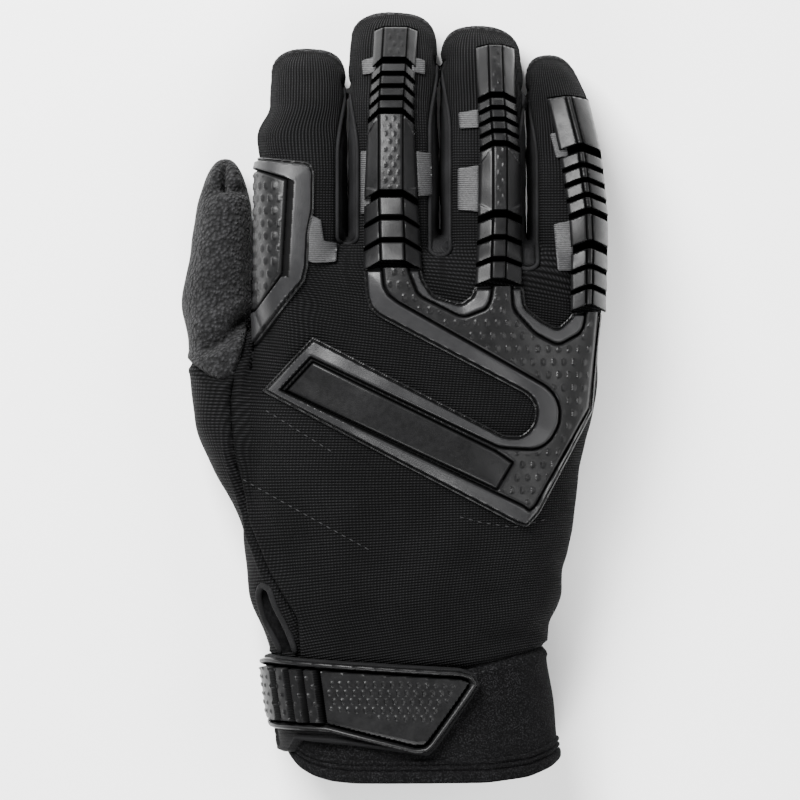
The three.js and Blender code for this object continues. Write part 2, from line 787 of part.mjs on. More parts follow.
function piece(name, solid, material) {
  const mesh = mainBody(solid).getMesh();
  const geometry = new THREE.BufferGeometry();
  geometry.setAttribute('position', new THREE.BufferAttribute(mesh.vertProperties, mesh.numProp));
  geometry.setIndex(new THREE.BufferAttribute(mesh.triVerts, 1));
  geometry.computeVertexNormals();
  const look = new THREE.MeshStandardMaterial({
    color: COLOURS[material], roughness: ROUGHNESS[material], metalness: 0,
  });
  const node = new THREE.Mesh(geometry, look);
  node.name = name;
  glove.add(node);
}

piece('back_panel', backPanel, 'knit');
piece('palm_panel', palmPanel, 'suede');
piece('thumb_panel', thumbPanel, 'suede');
piece('thumb_side_panel', sidePanel, 'knit');
piece('fourchette_index_middle', fourchettes[0], 'lycra');
piece('fourchette_middle_ring', fourchettes[1], 'lycra');
piece('fourchette_ring_little', fourchettes[2], 'lycra');
piece('slit_gusset', slitGusset, 'fuzzy');
piece('slit_binding', slitBinding, 'lycra');
piece('cuff', cuff, 'neoprene');
piece('cuff_hem', cuffHem, 'neoprene');
piece('wrist_strap', strap, 'strap');
piece('wrist_tab', tab, 'rubber');
piece('knuckle_guard', knuckleGuard, 'rubber');
piece('index_side_guard', sideGuard, 'rubber');
for (const [name, guard] of Object.entries(GUARDS)) piece(name, fingerGuard(guard), 'rubber');

export default glove;
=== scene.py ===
"""Tactical glove for the right hand: its looks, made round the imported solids.

Shapes are worked out in millimetres, in the frame of the solids before their centring
shift, and turned into metres where a mesh is made. X runs away from the thumb, Y towards
the fingertips and Z out of the back of the hand.
"""

import bpy
import numpy as np
from bpy.props import FloatProperty, FloatVectorProperty, PointerProperty
from bpy.types import Operator, Panel, PropertyGroup
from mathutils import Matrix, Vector
from mathutils.geometry import delaunay_2d_cdt


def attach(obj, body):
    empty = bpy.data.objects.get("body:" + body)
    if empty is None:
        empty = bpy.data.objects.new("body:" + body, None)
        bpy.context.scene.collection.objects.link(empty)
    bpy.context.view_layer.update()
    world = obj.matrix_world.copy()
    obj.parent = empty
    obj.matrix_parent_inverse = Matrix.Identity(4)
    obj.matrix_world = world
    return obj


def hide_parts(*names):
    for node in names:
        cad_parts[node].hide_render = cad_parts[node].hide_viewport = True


bl_info = {
    "name": "Tactical glove",
    "version": (1, 0, 0),
    "blender": (4, 5, 0),
    "location": "View3D > Sidebar > Glove",
    "description": "Makes a right-hand tactical glove round its packed solids",
    "category": "Object",
}

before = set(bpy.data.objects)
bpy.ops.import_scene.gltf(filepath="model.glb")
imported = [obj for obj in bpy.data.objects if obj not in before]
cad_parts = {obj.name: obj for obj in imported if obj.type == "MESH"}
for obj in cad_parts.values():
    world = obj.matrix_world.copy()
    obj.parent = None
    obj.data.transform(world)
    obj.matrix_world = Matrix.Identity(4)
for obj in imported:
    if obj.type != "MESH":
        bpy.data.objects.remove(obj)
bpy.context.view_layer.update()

MM = 0.001
CENTRING = np.array([0.15, 0.15, 0.0])  # the solids' centring shift
BODY = "root"

PHOTO_SCALE = 0.3  # millimetres a pixel
PHOTO_ORIGIN = 394  # the pixel, across and down, that lies over the origin
PHOTO_PIXELS = 800  # across and down
WEAVE_UNIT = 0.01  # of the weave map, for each millimetre of cloth

# Mesh steps: knuckle and index guards, finger guards, and plates without relief
SHIELD_STEP = 0.37
RIBS_STEP = 0.34
PLAIN_STEP = 0.6

HEART_SHARE = 0.46  # of a form's height, where it is widest
CHUNK = 20000  # points whose distances are worked out at a time
SEAM_REACH = 6.0  # how far from a seam the cloth still feels it
HIGHLIGHT_AND_POLISH = 0.4  # below 0 in the hollow attribute on bands: painted highlight and glossier polish

# The glove's forms: rows of y, left side, right side, top and bottom.
HAND_ROWS = (
    (-118, -31.0, 50.4, 42.5, -1),
    (-92, -34.6, 47.8, 41, -1),
    (-77, -36.8, 45.6, 41, -1),
    (-60, -43.4, 49.2, 42.5, -1),
    (-40, -45.2, 53.4, 44.6, -1),
    (-24, -46.6, 55.4, 46.3, -1),
    (-12, -46.0, 58.0, 47.5, -0.8),
    (0, -43.8, 60.2, 48.6, 0),
    (10, -41.8, 60.9, 49.4, 3),
    (20, -40.2, 61.4, 49.8, 7.5),
    (32, -39.5, 61.9, 49.3, 11.5),
    (47.5, -39.4, 62.0, 47.6, 14),
)
INDEX_ROWS = (
    (-6, -32.0, -18.0, 39.0, 16),
    (16, -38.0, -15.6, 45.2, 14),
    (36, -39.4, -14.4, 46.8, 15),
    (52, -39.3, -14.1, 44.8, 17),
    (66, -39.3, -14.1, 41.6, 17.5),
    (77, -40.8, -14.1, 38.0, 15.5),
    (87, -37.0, -14.1, 33.0, 8.5),
    (103.8, -36.6, -15.0, 18.0, -1),
)
MIDDLE_ROWS = (
    (2, -10.0, 12.0, 44.0, 16),
    (26, -13.0, 14.0, 47.9, 13),
    (44, -13.6, 13.5, 47.6, 15),
    (60, -13.6, 13.3, 45.8, 18),
    (74, -13.6, 13.2, 42.8, 19.5),
    (84, -13.6, 12.7, 39.4, 16),
    (95, -13.5, 13.3, 33.6, 8.5),
    (114.9, -12.0, 12.2, 17.0, -1),
)
RING_ROWS = (
    (2, 17.0, 38.0, 42.6, 16),
    (26, 14.8, 40.2, 46.2, 13),
    (44, 14.1, 39.3, 45.8, 15),
    (60, 13.9, 39.3, 43.8, 17),
    (74, 13.9, 39.2, 40.6, 18),
    (86, 13.9, 38.8, 35.8, 12.5),
    (96, 13.8, 38.4, 30.0, 5.5),
    (110.7, 14.4, 36.4, 17.2, -1),
)
LITTLE_ROWS = (
    (-6, 42.0, 55.0, 33.0, 16),
    (14, 40.8, 60.6, 39.8, 13),
    (32, 40.0, 62.2, 41.4, 12.5),
    (48, 39.9, 62.7, 40.4, 14.5),
    (62, 39.9, 62.6, 38.2, 15.5),
    (76, 39.9, 60.8, 34.4, 12),
    (88, 39.7, 57.8, 28.8, 4.5),
    (102.3, 39.6, 52.4, 16.5, -1),
)
THUMB_ROWS = (
    (-46, -42.0, -24.0, 28.0, 0.5),
    (-32, -49.0, -25.0, 33.0, -1),
    (-20, -55.2, -27.0, 33.6, -1),
    (-8, -59.6, -31.0, 32.2, -1),
    (4, -60.8, -36.6, 30.0, -1),
    (16, -62.0, -41.2, 27.0, -1),
    (28, -64.2, -42.4, 25.2, -1),
    (40, -61.8, -42.6, 23.6, -1),
    (54, -59.6, -43.0, 21.4, -0.8),
    (71.1, -57.0, -45.4, 17.4, 1.0),
)

# The three partings between the fingers: y of each crotch, x of its middle, y of its
# strip's upper end, and the strips' half height at the seam and half width from above
CROTCH_YS = np.array([45.5, 42.0, 38.0])
PARTINGS = np.array([-13.85, 13.65, 39.6])
STRIP_TOPS = np.array([93.0, 100.0, 91.0])
STRIP_HALF = 4.6
STRIP_WIDTH = 3.0

# y and z of the seam between back and palm, up to where the fingers part, and again for
# the index finger's column
CROTCH_Y = 41.0
HAND_SEAM = np.array([(-144, 15), (-20, 15), (10, 20), (28, 27), (41, 30.5)], float)
THUMB_SIDE_SEAM = np.array([(-144, 15), (-20, 13), (10, 11), (28, 13), (41, 24)], float)

# Outlines in the photograph's pixels
CUFF_TOP_PX = [(230, 655), (330, 662), (469, 666), (545, 646), (600, 634)]
CUFF_MOUTH_PX = [
    (230, 702), (282, 728), (287, 746), (291, 757), (298, 766), (309, 773), (327, 778),
    (350, 780), (484, 779), (526, 774), (548, 766), (562, 756), (600, 742),
]
SIDE_ZONE_PX = [
    (100, 330), (244, 352), (236, 374), (231, 400), (233, 452), (250, 529), (268, 572),
    (296, 618), (299, 670), (100, 670),
]
THUMB_ZONE_PX = [
    (100, 340), (150, 340), (178, 357), (196, 369), (209, 377), (223, 380), (235, 373),
    (244, 356), (248, 341), (252, 318), (252, -100), (100, -100),
]
SLIT_PX = [(260, 590), (265, 585), (272, 589), (285, 620), (296, 651), (281, 651), (267, 622)]
SLIT_EDGE_PX = [
    (281, 653), (267, 623), (259.5, 592), (264, 583.5), (273, 588), (286, 619), (297, 653),
]
TAB_PX = [
    (200, 661), (267, 656), (460, 668), (472, 672), (477, 682), (433, 744), (427, 749),
    (416, 750), (330, 729), (273, 727), (200, 720),
]
TAB_DOTS_PX = [(329, 675), (455, 682), (432, 722), (329, 706)]
TAB_LOW_EDGE_PX = [(323, 729), (416, 750), (427, 749)]
TAB_GRIPS_END_PX = 322
TAB_GROOVES_PX = [(263.5, 2), (277.8, 5), (291.6, 4.4), (305.3, 5.2), (321.3, 6)]  # x, width
STRAP_PX = [
    (200, 657), (267, 653), (460, 665), (475, 671), (480, 683), (437, 744), (428, 752),
    (350, 742), (300, 738), (293, 750), (281, 751), (277, 738), (273, 731), (200, 724),
]
# Corners of the knuckle guard as (edge x, edge y, crest x, crest y), and the places of those
# that aren't rounded
KNUCKLE_PX = [
    (364, 270, 382, 266), (366, 297, 384, 288), (370, 310, 389, 297), (379, 318, 398, 304),
    (524, 394, 545, 387), (531, 401, 554, 397), (534, 411, 558, 409), (532, 423, 557, 424),
    (526, 431, 549, 440), (518, 436, 535, 449), (503, 435, 499, 447), (314, 338, 312, 358),
    (263, 391, 282, 390), (515, 523, 522, 505), (526, 526, 528, 510), (538, 513, 534, 505),
    (592, 411, 588, 408), (597, 345, 594, 345), (601, 313, 597, 309), (571, 313, 584, 309),
    (568, 318, 581, 332), (556, 329, 556, 346), (540, 321, 533, 334), (524, 308, 512, 311),
    (522, 288, 510, 284), (473, 288, 492, 284), (471, 297, 488, 309), (460, 305, 462, 319),
    (434, 297, 418, 297), (423, 281, 409, 274), (421, 270, 407, 266),
]
KNUCKLE_SHARP = (0, 11, 12, 16, 30)
KNUCKLE_BAR_PX = [(314, 362), (494, 450), (512, 462), (496, 489), (287, 391)]
SIDE_GUARD_PX = [
    (230, 158), (259, 159), (306, 164), (313, 167), (316, 175), (315.5, 212), (311, 236),
    (309.5, 268), (306, 283), (254, 346), (230, 346),
]
SIDE_CREST_PX = [
    (232, 171), (259, 172), (288.5, 182), (283, 276.5), (258, 310), (232, 322),
]
SIDE_WALL_PX = [(287, 180), (296, 184), (290.5, 279), (281, 278)]
SIDE_SEEN_FROM_PX = 253
SIDE_FLANGE_PX = [
    (309, 216), (322, 222), (325, 243), (338, 245), (337, 263), (316, 265), (307, 262),
]

# Finger guards: half width of the middle block in pixels, the chevrons' slant at rows of the
# photograph, stretches between two rows as (from, to, count of blocks, width, centre at from,
# centre at to), and the sewn flanges.
FINGER_GUARDS = {
    "middle": (11.5, [(26, 0.35), (58, 0.95), (112, 0.95), (193, 0.62), (263, 0.55)], [
        (263, 196, 3, 58, 393, 392), (193, 115, 1, 53, 391, 391),
        (112, 62, 4, 46, 391, 394), (60, 26, 1, 43, 394, 396),
    ], [
        [(416, 154), (431, 156), (432, 197), (418, 199)],
        [(361, 154), (371, 154), (371, 216), (361, 216)],
        [(362, 62), (376, 58), (376, 74), (363, 77)],
        [(412, 58), (425, 62), (425, 76), (412, 74)],
    ]),
    "ring": (6.5, [(44, 0.25), (92, 0.5), (144, 0.5), (213, 0.4), (281, 0.38)], [
        (281, 216, 3, 46, 497, 498), (213, 147, 1, 44, 499, 500),
        (144, 97, 4, 40, 499, 497), (95, 44, 1, 38, 496, 495),
    ], [
        [(457, 171), (478, 168), (478, 214), (457, 212)],
        [(458, 115), (478, 112), (478, 130), (459, 131)],
    ]),
    "little": (2.5, [(96, 0.15), (146, 0.36), (210, 0.4), (306, 0.42)], [
        (306, 246, 3, 36, 587, 587), (242, 214, 1, 38, 588, 588),
        (210, 150, 4, 40, 587, 580), (146, 96, 1, 42, 579, 567),
    ], [
        [(552, 226), (571, 222), (571, 272), (556, 272)],
        [(549, 136), (562, 132), (567, 158), (555, 160)],
    ]),
}

# Folds and creases: height in mm (negative is a crease), width in mm, and a line in pixels
FOLDS = (
    (-3.4, 1.3, [(226, 150), (225.5, 168), (224.5, 184)]),
    (-1.6, 1.6, [(206, 192), (224, 185), (246, 190)]),
    (1.1, 1.8, [(217, 164), (214, 180)]),
    (1.1, 1.7, [(233, 164), (239, 181)]),
    (-2.8, 2.3, [(206, 347), (226, 338), (248, 320)]),
    (1.2, 2.6, [(198, 364), (222, 356), (242, 344)]),
    (0.9, 2.6, [(196, 326), (214, 320), (238, 304)]),
    (-0.8, 2.2, [(188, 300), (206, 306), (222, 302)]),
    (-0.6, 3.0, [(206, 200), (222, 186), (236, 182)]),
    (-0.7, 3.2, [(240, 470), (262, 520), (292, 572)]),
    (0.7, 4.5, [(256, 540), (282, 590), (306, 640)]),
    (-0.6, 3.0, [(470, 600), (520, 590), (560, 566)]),
    (0.7, 4.0, [(480, 622), (524, 612), (556, 594)]),
    (-0.7, 2.6, [(496, 640), (530, 634), (552, 622)]),
    (-0.5, 3.4, [(320, 640), (380, 634), (440, 640)]),
    (0.5, 5.0, [(420, 560), (470, 546), (530, 540)]),
    (-0.6, 3.4, [(276, 120), (300, 126), (330, 122)]),
    (-0.5, 3.0, [(300, 300), (330, 312), (352, 330)]),
    (-0.5, 2.6, [(262, 700), (300, 706), (330, 740)]),
)


class GloveSizes(PropertyGroup):
    """Sizes that a maker would change"""

    wall: FloatProperty(name="Wall", description="Thickness of cloth and suede",
                        default=0.0015, unit="LENGTH")
    cell: FloatProperty(name="Cell", description="Side of a mesh cell on the cloth",
                        default=0.00105, unit="LENGTH")
    seam_depth: FloatProperty(name="Seam depth", description="How far a seam is pulled in",
                              default=0.001, unit="LENGTH")
    seam_width: FloatProperty(name="Seam width", description="Half width of a seam's hollow",
                              default=0.00115, unit="LENGTH")
    hem: FloatProperty(name="Hem", description="Length of the turned cuff edge",
                       default=0.0044, unit="LENGTH")
    tab_step: FloatProperty(name="Tab step", description="Mesh step on the wrist tab",
                            default=0.00042, unit="LENGTH")


class GloveColours(PropertyGroup):
    """Base colours of the finishes"""

    knit: FloatVectorProperty(name="Knit", description="Ribbed knit back", subtype="COLOR",
                              default=(0.0038, 0.0038, 0.004))
    suede: FloatVectorProperty(name="Suede", description="Palm and thumb", subtype="COLOR",
                               default=(0.0088, 0.0088, 0.0092))
    stretch: FloatVectorProperty(name="Stretch cloth", description="Strips between fingers",
                                 subtype="COLOR", default=(0.0042, 0.0042, 0.0045))
    cuff: FloatVectorProperty(name="Cuff", description="Neoprene cuff", subtype="COLOR",
                              default=(0.0035, 0.0035, 0.0037))
    rubber: FloatVectorProperty(name="Rubber", description="Moulded guards and tab",
                                subtype="COLOR", default=(0.0036, 0.0036, 0.0038))


def size_of(name):
    """One of the glove's sizes in millimetres."""
    return getattr(bpy.context.scene.glove_sizes, name) / MM


# Lines and outlines

def from_photo(pixels):
    """Photograph pixels as x and y in millimetres."""
    p = np.asarray(pixels, float)
    return np.stack([(p[..., 0] - PHOTO_ORIGIN) * PHOTO_SCALE,
                     (PHOTO_ORIGIN - p[..., 1]) * PHOTO_SCALE], -1)


def smooth_step(t):
    """0 below 0, 1 above 1, and three t squared less two t cubed between."""
    t = np.clip(t, 0.0, 1.0)
    return t * t * (3 - 2 * t)


def bell(distance, width):
    """One at no distance, falling as the exponential of the negative square."""
    return np.exp(-(distance / width) ** 2)


def densified(line, step, closed=False):
    """The line's rows with points added so that none lie further apart than step."""
    line = np.asarray(line, float)
    after = np.roll(line, -1, 0) if closed else line[1:]
    before = line if closed else line[:-1]
    counts = np.maximum(1, np.ceil(np.hypot(*(after - before)[:, :2].T) / step)).astype(int)
    index = np.repeat(np.arange(len(before)), counts)
    first = np.repeat(np.cumsum(counts) - counts, counts)
    share = ((np.arange(len(index)) - first) / np.repeat(counts, counts))[:, None]
    dense = before[index] + (after - before)[index] * share
    return dense if closed else np.vstack([dense, line[-1:]])


def rounded(outline, reach, passes, sharp=()):
    """A closed outline whose corners are cut in passes, a quarter from each end of a side.

    Sides are first cut to reach. Corners whose places are in sharp stay as they are.
    """
    kept = np.zeros((len(outline), 1))
    kept[list(sharp)] = 1
    line = densified(np.hstack([outline, kept]), reach, True)
    line[:, -1] = line[:, -1] > 0.999
    for _ in range(passes):
        after = np.roll(line, -1, 0)
        keep, keep_after = line[:, -1:], after[:, -1:]
        low = np.where(keep > 0, line, line * 0.75 + after * 0.25)
        high = np.where(keep_after > 0, after, line * 0.25 + after * 0.75)
        line = np.stack([low, high], 1).reshape(-1, line.shape[1])
        line[:, -1] = line[:, -1] > 0.999
        gap = np.linalg.norm(line[:, :2] - np.roll(line, 1, 0)[:, :2], axis=1)
        line = line[gap > 1e-4]
    return line[:, :-1]


def line_distance(points, line, closed=False):
    """Distance in the plane from each point to the nearest stretch of a line."""
    a = line if closed else line[:-1]
    way = (np.roll(line, -1, 0) if closed else line[1:]) - a
    size = np.maximum((way ** 2).sum(1), 1e-12)
    best = np.full(len(points), np.inf)
    for start in range(0, len(points), CHUNK):
        part = points[start:start + CHUNK, None] - a
        t = np.clip((part * way).sum(-1) / size, 0, 1)
        gap = part - way * t[..., None]
        best[start:start + CHUNK] = np.sqrt((gap ** 2).sum(-1).min(1))
    return best


def inside(points, outline):
    """True where a ray along +X from the point crosses the outline an odd number of times."""
    a, b = outline, np.roll(outline, -1, 0)
    odd = np.zeros(len(points), bool)
    rise = np.where(b[:, 1] == a[:, 1], 1e-12, b[:, 1] - a[:, 1])
    for start in range(0, len(points), CHUNK):
        x, y = points[start:start + CHUNK].T
        across = (a[:, 1] > y[:, None]) != (b[:, 1] > y[:, None])
        meets = a[:, 0] + (y[:, None] - a[:, 1]) * (b[:, 0] - a[:, 0]) / rise
        odd[start:start + CHUNK] = (across & (x[:, None] < meets)).sum(1) % 2 == 1
    return odd


def signed_distance(points, outline):
    """Distance to a closed outline, positive inside it."""
    gap = line_distance(points, outline, True)
    return np.where(inside(points, outline), gap, -gap)


def grown(outline, margin):
    """A closed outline moved outwards along the mean normal of its corners."""
    before, after = np.roll(outline, 1, 0), np.roll(outline, -1, 0)
    area = (outline[:, 0] * after[:, 1] - after[:, 0] * outline[:, 1]).sum()
    way = (outline - before) / np.linalg.norm(outline - before, axis=1)[:, None]
    way = way + (after - outline) / np.linalg.norm(after - outline, axis=1)[:, None]
    out = np.stack([way[:, 1], -way[:, 0]], -1)
    out /= np.maximum(np.linalg.norm(out, axis=1), 1e-6)[:, None]
    return outline + out * margin * np.sign(area)


def tube_faces(rows, around):
    """Faces of a closed tube: quads between its rings, and a fan to a pole at each end.

    The poles are the two points that follow those of the rings.
    """
    r, i = np.meshgrid(np.arange(rows - 1), np.arange(around), indexing="ij")
    a, b = r * around + i, r * around + (i + 1) % around
    quads = np.stack([a, a + around, b + around, b], -1).reshape(-1, 4)
    ring = np.arange(around)
    after, last, total = (ring + 1) % around, (rows - 1) * around, rows * around
    low = np.stack([np.full_like(ring, total), ring, after], -1)
    high = np.stack([np.full_like(ring, total + 1), last + after, last + ring], -1)
    return [quads, low, high]


# Forms

class Form:
    """A tube of ovals along Y, whose sides, top and bottom run smoothly through its rows.

    In an oval, the shares of its half width and half height, each to the power square, add
    up to one. Over tip_length the ovals shrink to the blunt tip by tip_power in the same way,
    and a ring of the tube has as many points as around.
    """

    def __init__(self, rows, square, tip_length, tip_power, around):
        table = np.array(rows, float)
        self.ys, self.values = table[:, 0], table[:, 1:]
        self.start, self.tip = self.ys[0], self.ys[-1]
        self.square, self.power = square, 2 / square
        self.tip_length, self.tip_power, self.around = tip_length, tip_power, around
        steps = np.diff(self.values, axis=0) / np.diff(self.ys)[:, None]
        before, after = np.vstack([steps[:1], steps]), np.vstack([steps, steps[-1:]])
        product = before * after
        self.slopes = np.where(product > 0, 2 * product / np.where(
            product > 0, before + after, 1), 0)
        self.fill_arcs()

    def at(self, y):
        """Sides, top and bottom at y, on cubics that never pass the rows' own values."""
        y = np.clip(y, self.ys[0], self.ys[-1])
        i = np.clip(np.searchsorted(self.ys, y, side="right") - 1, 0, len(self.ys) - 2)
        span = (self.ys[i + 1] - self.ys[i])[..., None]
        t = (y - self.ys[i])[..., None] / span
        straight = self.values[i] + (self.values[i + 1] - self.values[i]) * (3 - 2 * t) * t * t
        bend = self.slopes[i] * (t ** 3 - 2 * t * t + t) + self.slopes[i + 1] * (t ** 3 - t * t)
        return np.moveaxis(straight + bend * span, -1, 0)

    def section(self, y, rise):
        """Middle, heart, half width, and reach up and down of the oval swollen by rise."""
        left, right, top, bottom = self.at(y)
        along = np.clip((y - (self.tip + rise - self.tip_length)) / self.tip_length, 0, 1)
        shrink = (1 - along ** self.tip_power) ** (1 / self.tip_power)
        heart = bottom + (top - bottom) * HEART_SHARE
        half = ((right - left) / 2 + rise) * shrink
        return ((left + right) / 2, heart, half, (top + rise - heart) * shrink,
                (heart - bottom + rise) * shrink)

    def point(self, y, angle, rise):
        """Point of the swollen skin: a power of cosine across and of sine up."""
        middle, heart, half, up, down = self.section(y, rise)
        c, s = np.cos(angle), np.sin(angle)
        x = middle + np.sign(c) * np.abs(c) ** self.power * half
        z = heart + np.abs(s) ** self.power * np.where(s > 0, up, -down)
        return np.stack(np.broadcast_arrays(x, y, z), -1)

    def height(self, x, y, rise):
        """Height of the swollen skin, falling away steeply beside the form."""
        middle, heart, half, up, _ = self.section(y, rise)
        across = np.abs(x - middle)
        share = np.clip(across / np.maximum(half, 1e-6), 0, 1)
        z = heart + up * (1 - share ** self.square) ** (1 / self.square)
        z = z - 6 * np.maximum(across - half, 0)
        return np.where((y < self.start) | (y > self.tip + rise), -80, z)

    def distance(self, points):
        """About how far points lie outside the skin, measured from the oval's heart."""
        x, y, z = points.T
        middle, heart, half, up, down = self.section(y, 0.0)
        high = np.maximum(np.where(z > heart, up, down), 1e-6)
        share = np.abs((x - middle) / np.maximum(half, 1e-6)) ** self.square
        radius = (share + np.abs((z - heart) / high) ** self.square) ** (1 / self.square)
        gap = np.hypot(x - middle, z - heart) * (1 - 1 / np.maximum(radius, 1e-6))
        beyond = np.maximum(np.maximum(self.start - y, y - self.tip), 0)
        return np.where(beyond > 0, np.hypot(np.maximum(gap, 0), beyond), gap)

    def fill_arcs(self):
        """Arc length round the middle oval against the turn from its top, both to the right."""
        self.turns = np.linspace(-np.pi, np.pi, 1441)
        middle_y = (self.start + self.tip - self.tip_length) / 2
        ring = self.point(np.full(len(self.turns), middle_y), np.pi / 2 - self.turns, 0.0)
        steps = np.linalg.norm(np.diff(ring, axis=0), axis=1)
        arcs = np.concatenate([[0], np.cumsum(steps)])
        self.arcs = arcs - np.interp(0, self.turns, arcs)
        self.arc_middle = float(self.section(np.array(middle_y), 0.0)[0])

    def unrolled(self, points):
        """Distance round the form from its top line, as an x of the flat pattern."""
        x, y, z = points.T
        middle, heart, half, up, down = self.section(y, 0.0)
        high = np.maximum(np.where(z > heart, up, down), 1e-6)
        c = (x - middle) / np.maximum(half, 1e-6)
        s = (z - heart) / high
        bent = self.square / 2
        angle = np.arctan2(np.sign(s) * np.abs(s) ** bent, np.sign(c) * np.abs(c) ** bent)
        turn = (np.pi / 2 - angle + np.pi) % (2 * np.pi) - np.pi
        return self.arc_middle + np.interp(turn, self.turns, self.arcs)

    def flat(self, plan, rise=0.0):
        """Plan x as the flat pattern's x, going on down the side past the silhouette.

        The plan is that of the form swollen by rise.
        """
        x, y = plan.T
        middle, _, half, _, _ = self.section(y, rise)
        c = (x - middle) / half
        over = np.sign(c) * np.maximum(np.abs(x - middle) - half, 0)
        c = np.clip(c, -1, 1)
        angle = np.arccos(np.sign(c) * np.abs(c) ** (self.square / 2))
        u = self.arc_middle + np.interp(np.pi / 2 - angle, self.turns, self.arcs)
        return np.stack([u + over, y], -1)

    def wrapped(self, flat, rise):
        """A point of the flat pattern laid back round the form, lifted by rise."""
        turn = np.interp(flat[:, 0] - self.arc_middle, self.arcs, self.turns)
        points = self.point(flat[:, 1], np.pi / 2 - turn, rise)
        points[:, 2] = resting(points[:, 2])
        return points

    def tube(self, cell):
        """Closed grid of ovals along Y: rows at even steps, then rows round the blunt tip."""
        end = self.tip - self.tip_length
        body = np.linspace(self.start, end, int((end - self.start) / cell) + 1)
        turn = np.radians(np.linspace(0, 88.5, int(self.tip_length * 1.9 / cell) + 4)[1:])
        ys = np.concatenate([body, end + self.tip_length * np.sin(turn)])
        angle = np.linspace(0, 2 * np.pi, self.around, endpoint=False)
        rings = self.point(ys[:, None], angle[None], 0.0).reshape(-1, 3)
        poles = np.array([rings[:self.around].mean(0), rings[-self.around:].mean(0)])
        poles[1, 1] = self.tip
        return np.vstack([rings, poles]), tube_faces(len(ys), self.around)


HAND = Form(HAND_ROWS, square=2.35, tip_length=13, tip_power=2.2, around=236)
INDEX = Form(INDEX_ROWS, square=2.4, tip_length=9, tip_power=2.7, around=92)
MIDDLE = Form(MIDDLE_ROWS, square=2.4, tip_length=9, tip_power=2.5, around=92)
RING = Form(RING_ROWS, square=2.4, tip_length=9, tip_power=2.5, around=88)
LITTLE = Form(LITTLE_ROWS, square=2.4, tip_length=8, tip_power=2.4, around=78)
THUMB = Form(THUMB_ROWS, square=2.2, tip_length=15, tip_power=2.4, around=84)
FINGERS = (INDEX, MIDDLE, RING, LITTLE)
ALL_FORMS = (HAND, *FINGERS, THUMB)
FINGER_FORM = {"middle": MIDDLE, "ring": RING, "little": LITTLE}


def resting(z):
    """Height above the surface the glove lies on: the half sum of z and a smooth |z|."""
    return (z + np.sqrt(z * z + 0.2)) / 2 - 0.02


def smooth_top(heights, blend=0.9):
    """The highest of several surfaces, with a fillet where they cross: log of summed powers."""
    highest = heights.max(0)
    return highest + blend * np.log(np.exp((heights - highest) / blend).sum(0))


def unevenness(points):
    """Lift of worn cloth over the smooth form: a few long waves and the listed folds.

    A wave is the sine of a sum of x, y and z, each times a number, and of a start. A fold is
    a bell across its line, and fades out down the glove's sides.
    """
    ripples = ((0.21, 0.13, 0.09, 0.3), (-0.12, 0.19, 0.24, 1.9), (0.34, -0.27, 0.11, 4.1),
               (0.47, 0.52, -0.3, 2.6))
    lift = sum(0.16 / (1 + i * 0.5) * np.sin(points @ np.array(w[:3]) + w[3])
               for i, w in enumerate(ripples))
    plan = points[:, :2]
    for height, width, line in FOLDS:
        path = from_photo(line)
        gap = line_distance(plan, densified(path, 2.0))
        lift = lift + height * bell(gap, width) * smooth_step((points[:, 2] - 8) / 10)
    return lift


def on_glove(plan, rise):
    """A plan point set on the glove's back, lifted by rise."""
    x, y = plan.T
    z = smooth_top(np.stack([form.height(x, y, rise) for form in ALL_FORMS]))
    points = np.stack([x, y, z], -1)
    points[:, 2] += unevenness(points)
    return points


def on_back_of(form):
    """A placing like on_glove that never goes down past the form's widest level by over 2 mm."""
    drop, rise_share = 2.0, 0.8

    def place(plan, rise):
        points = on_glove(plan, rise)
        heart = form.section(plan[:, 1], 0.0)[1]
        points[:, 2] = np.maximum(points[:, 2], heart - drop + rise_share * rise)
        return points

    return place


def on_hand(flat, rise):
    """A point of the hand's flat pattern laid on the skin, lifted by rise."""
    return HAND.wrapped(flat, rise + unevenness(HAND.wrapped(flat, np.zeros(len(flat)))))


# Meshes

def make_piece(name, points, polygons, finish, nodes=(), weave=None, sharp=None, wall=0.0,
               **values):
    """A mesh object from arrays, with its finish, its body and what it stands for.

    The finish is a name in FINISHES, and the named values become attributes of its points.
    """
    mesh = bpy.data.meshes.new(name)
    mesh.vertices.add(len(points))
    mesh.vertices.foreach_set("co", ((points + CENTRING) * MM).astype(np.float32).ravel())
    corners = np.concatenate([p.ravel() for p in polygons]).astype(np.int32)
    counts = np.concatenate([np.full(len(p), p.shape[1]) for p in polygons])
    mesh.loops.add(len(corners))
    mesh.loops.foreach_set("vertex_index", corners)
    mesh.polygons.add(len(counts))
    mesh.polygons.foreach_set("loop_start", (np.cumsum(counts) - counts).astype(np.int32))
    mesh.polygons.foreach_set("use_smooth", np.ones(len(counts), bool))
    if weave is not None:
        layer = mesh.uv_layers.new(name="weave")
        layer.data.foreach_set("uv", (weave[corners] * WEAVE_UNIT).astype(np.float32).ravel())
    for key, value in values.items():
        layer = mesh.attributes.new(key, "FLOAT", "POINT")
        layer.data.foreach_set("value", value.astype(np.float32))
    mesh.update(calc_edges=True)
    if sharp is not None:
        mesh.set_sharp_from_angle(angle=np.radians(sharp))
    if mesh.validate():
        raise RuntimeError(f"{name} had faulty faces")
    piece = bpy.data.objects.new(name, mesh)
    bpy.context.scene.collection.objects.link(piece)
    piece.data.materials.append(finish_of(finish))
    if wall:
        thicken = piece.modifiers.new("Wall", "SOLIDIFY")
        thicken.thickness = wall * MM
        thicken.offset = -1
    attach(piece, BODY)
    if nodes:
        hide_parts(*nodes)
    return piece


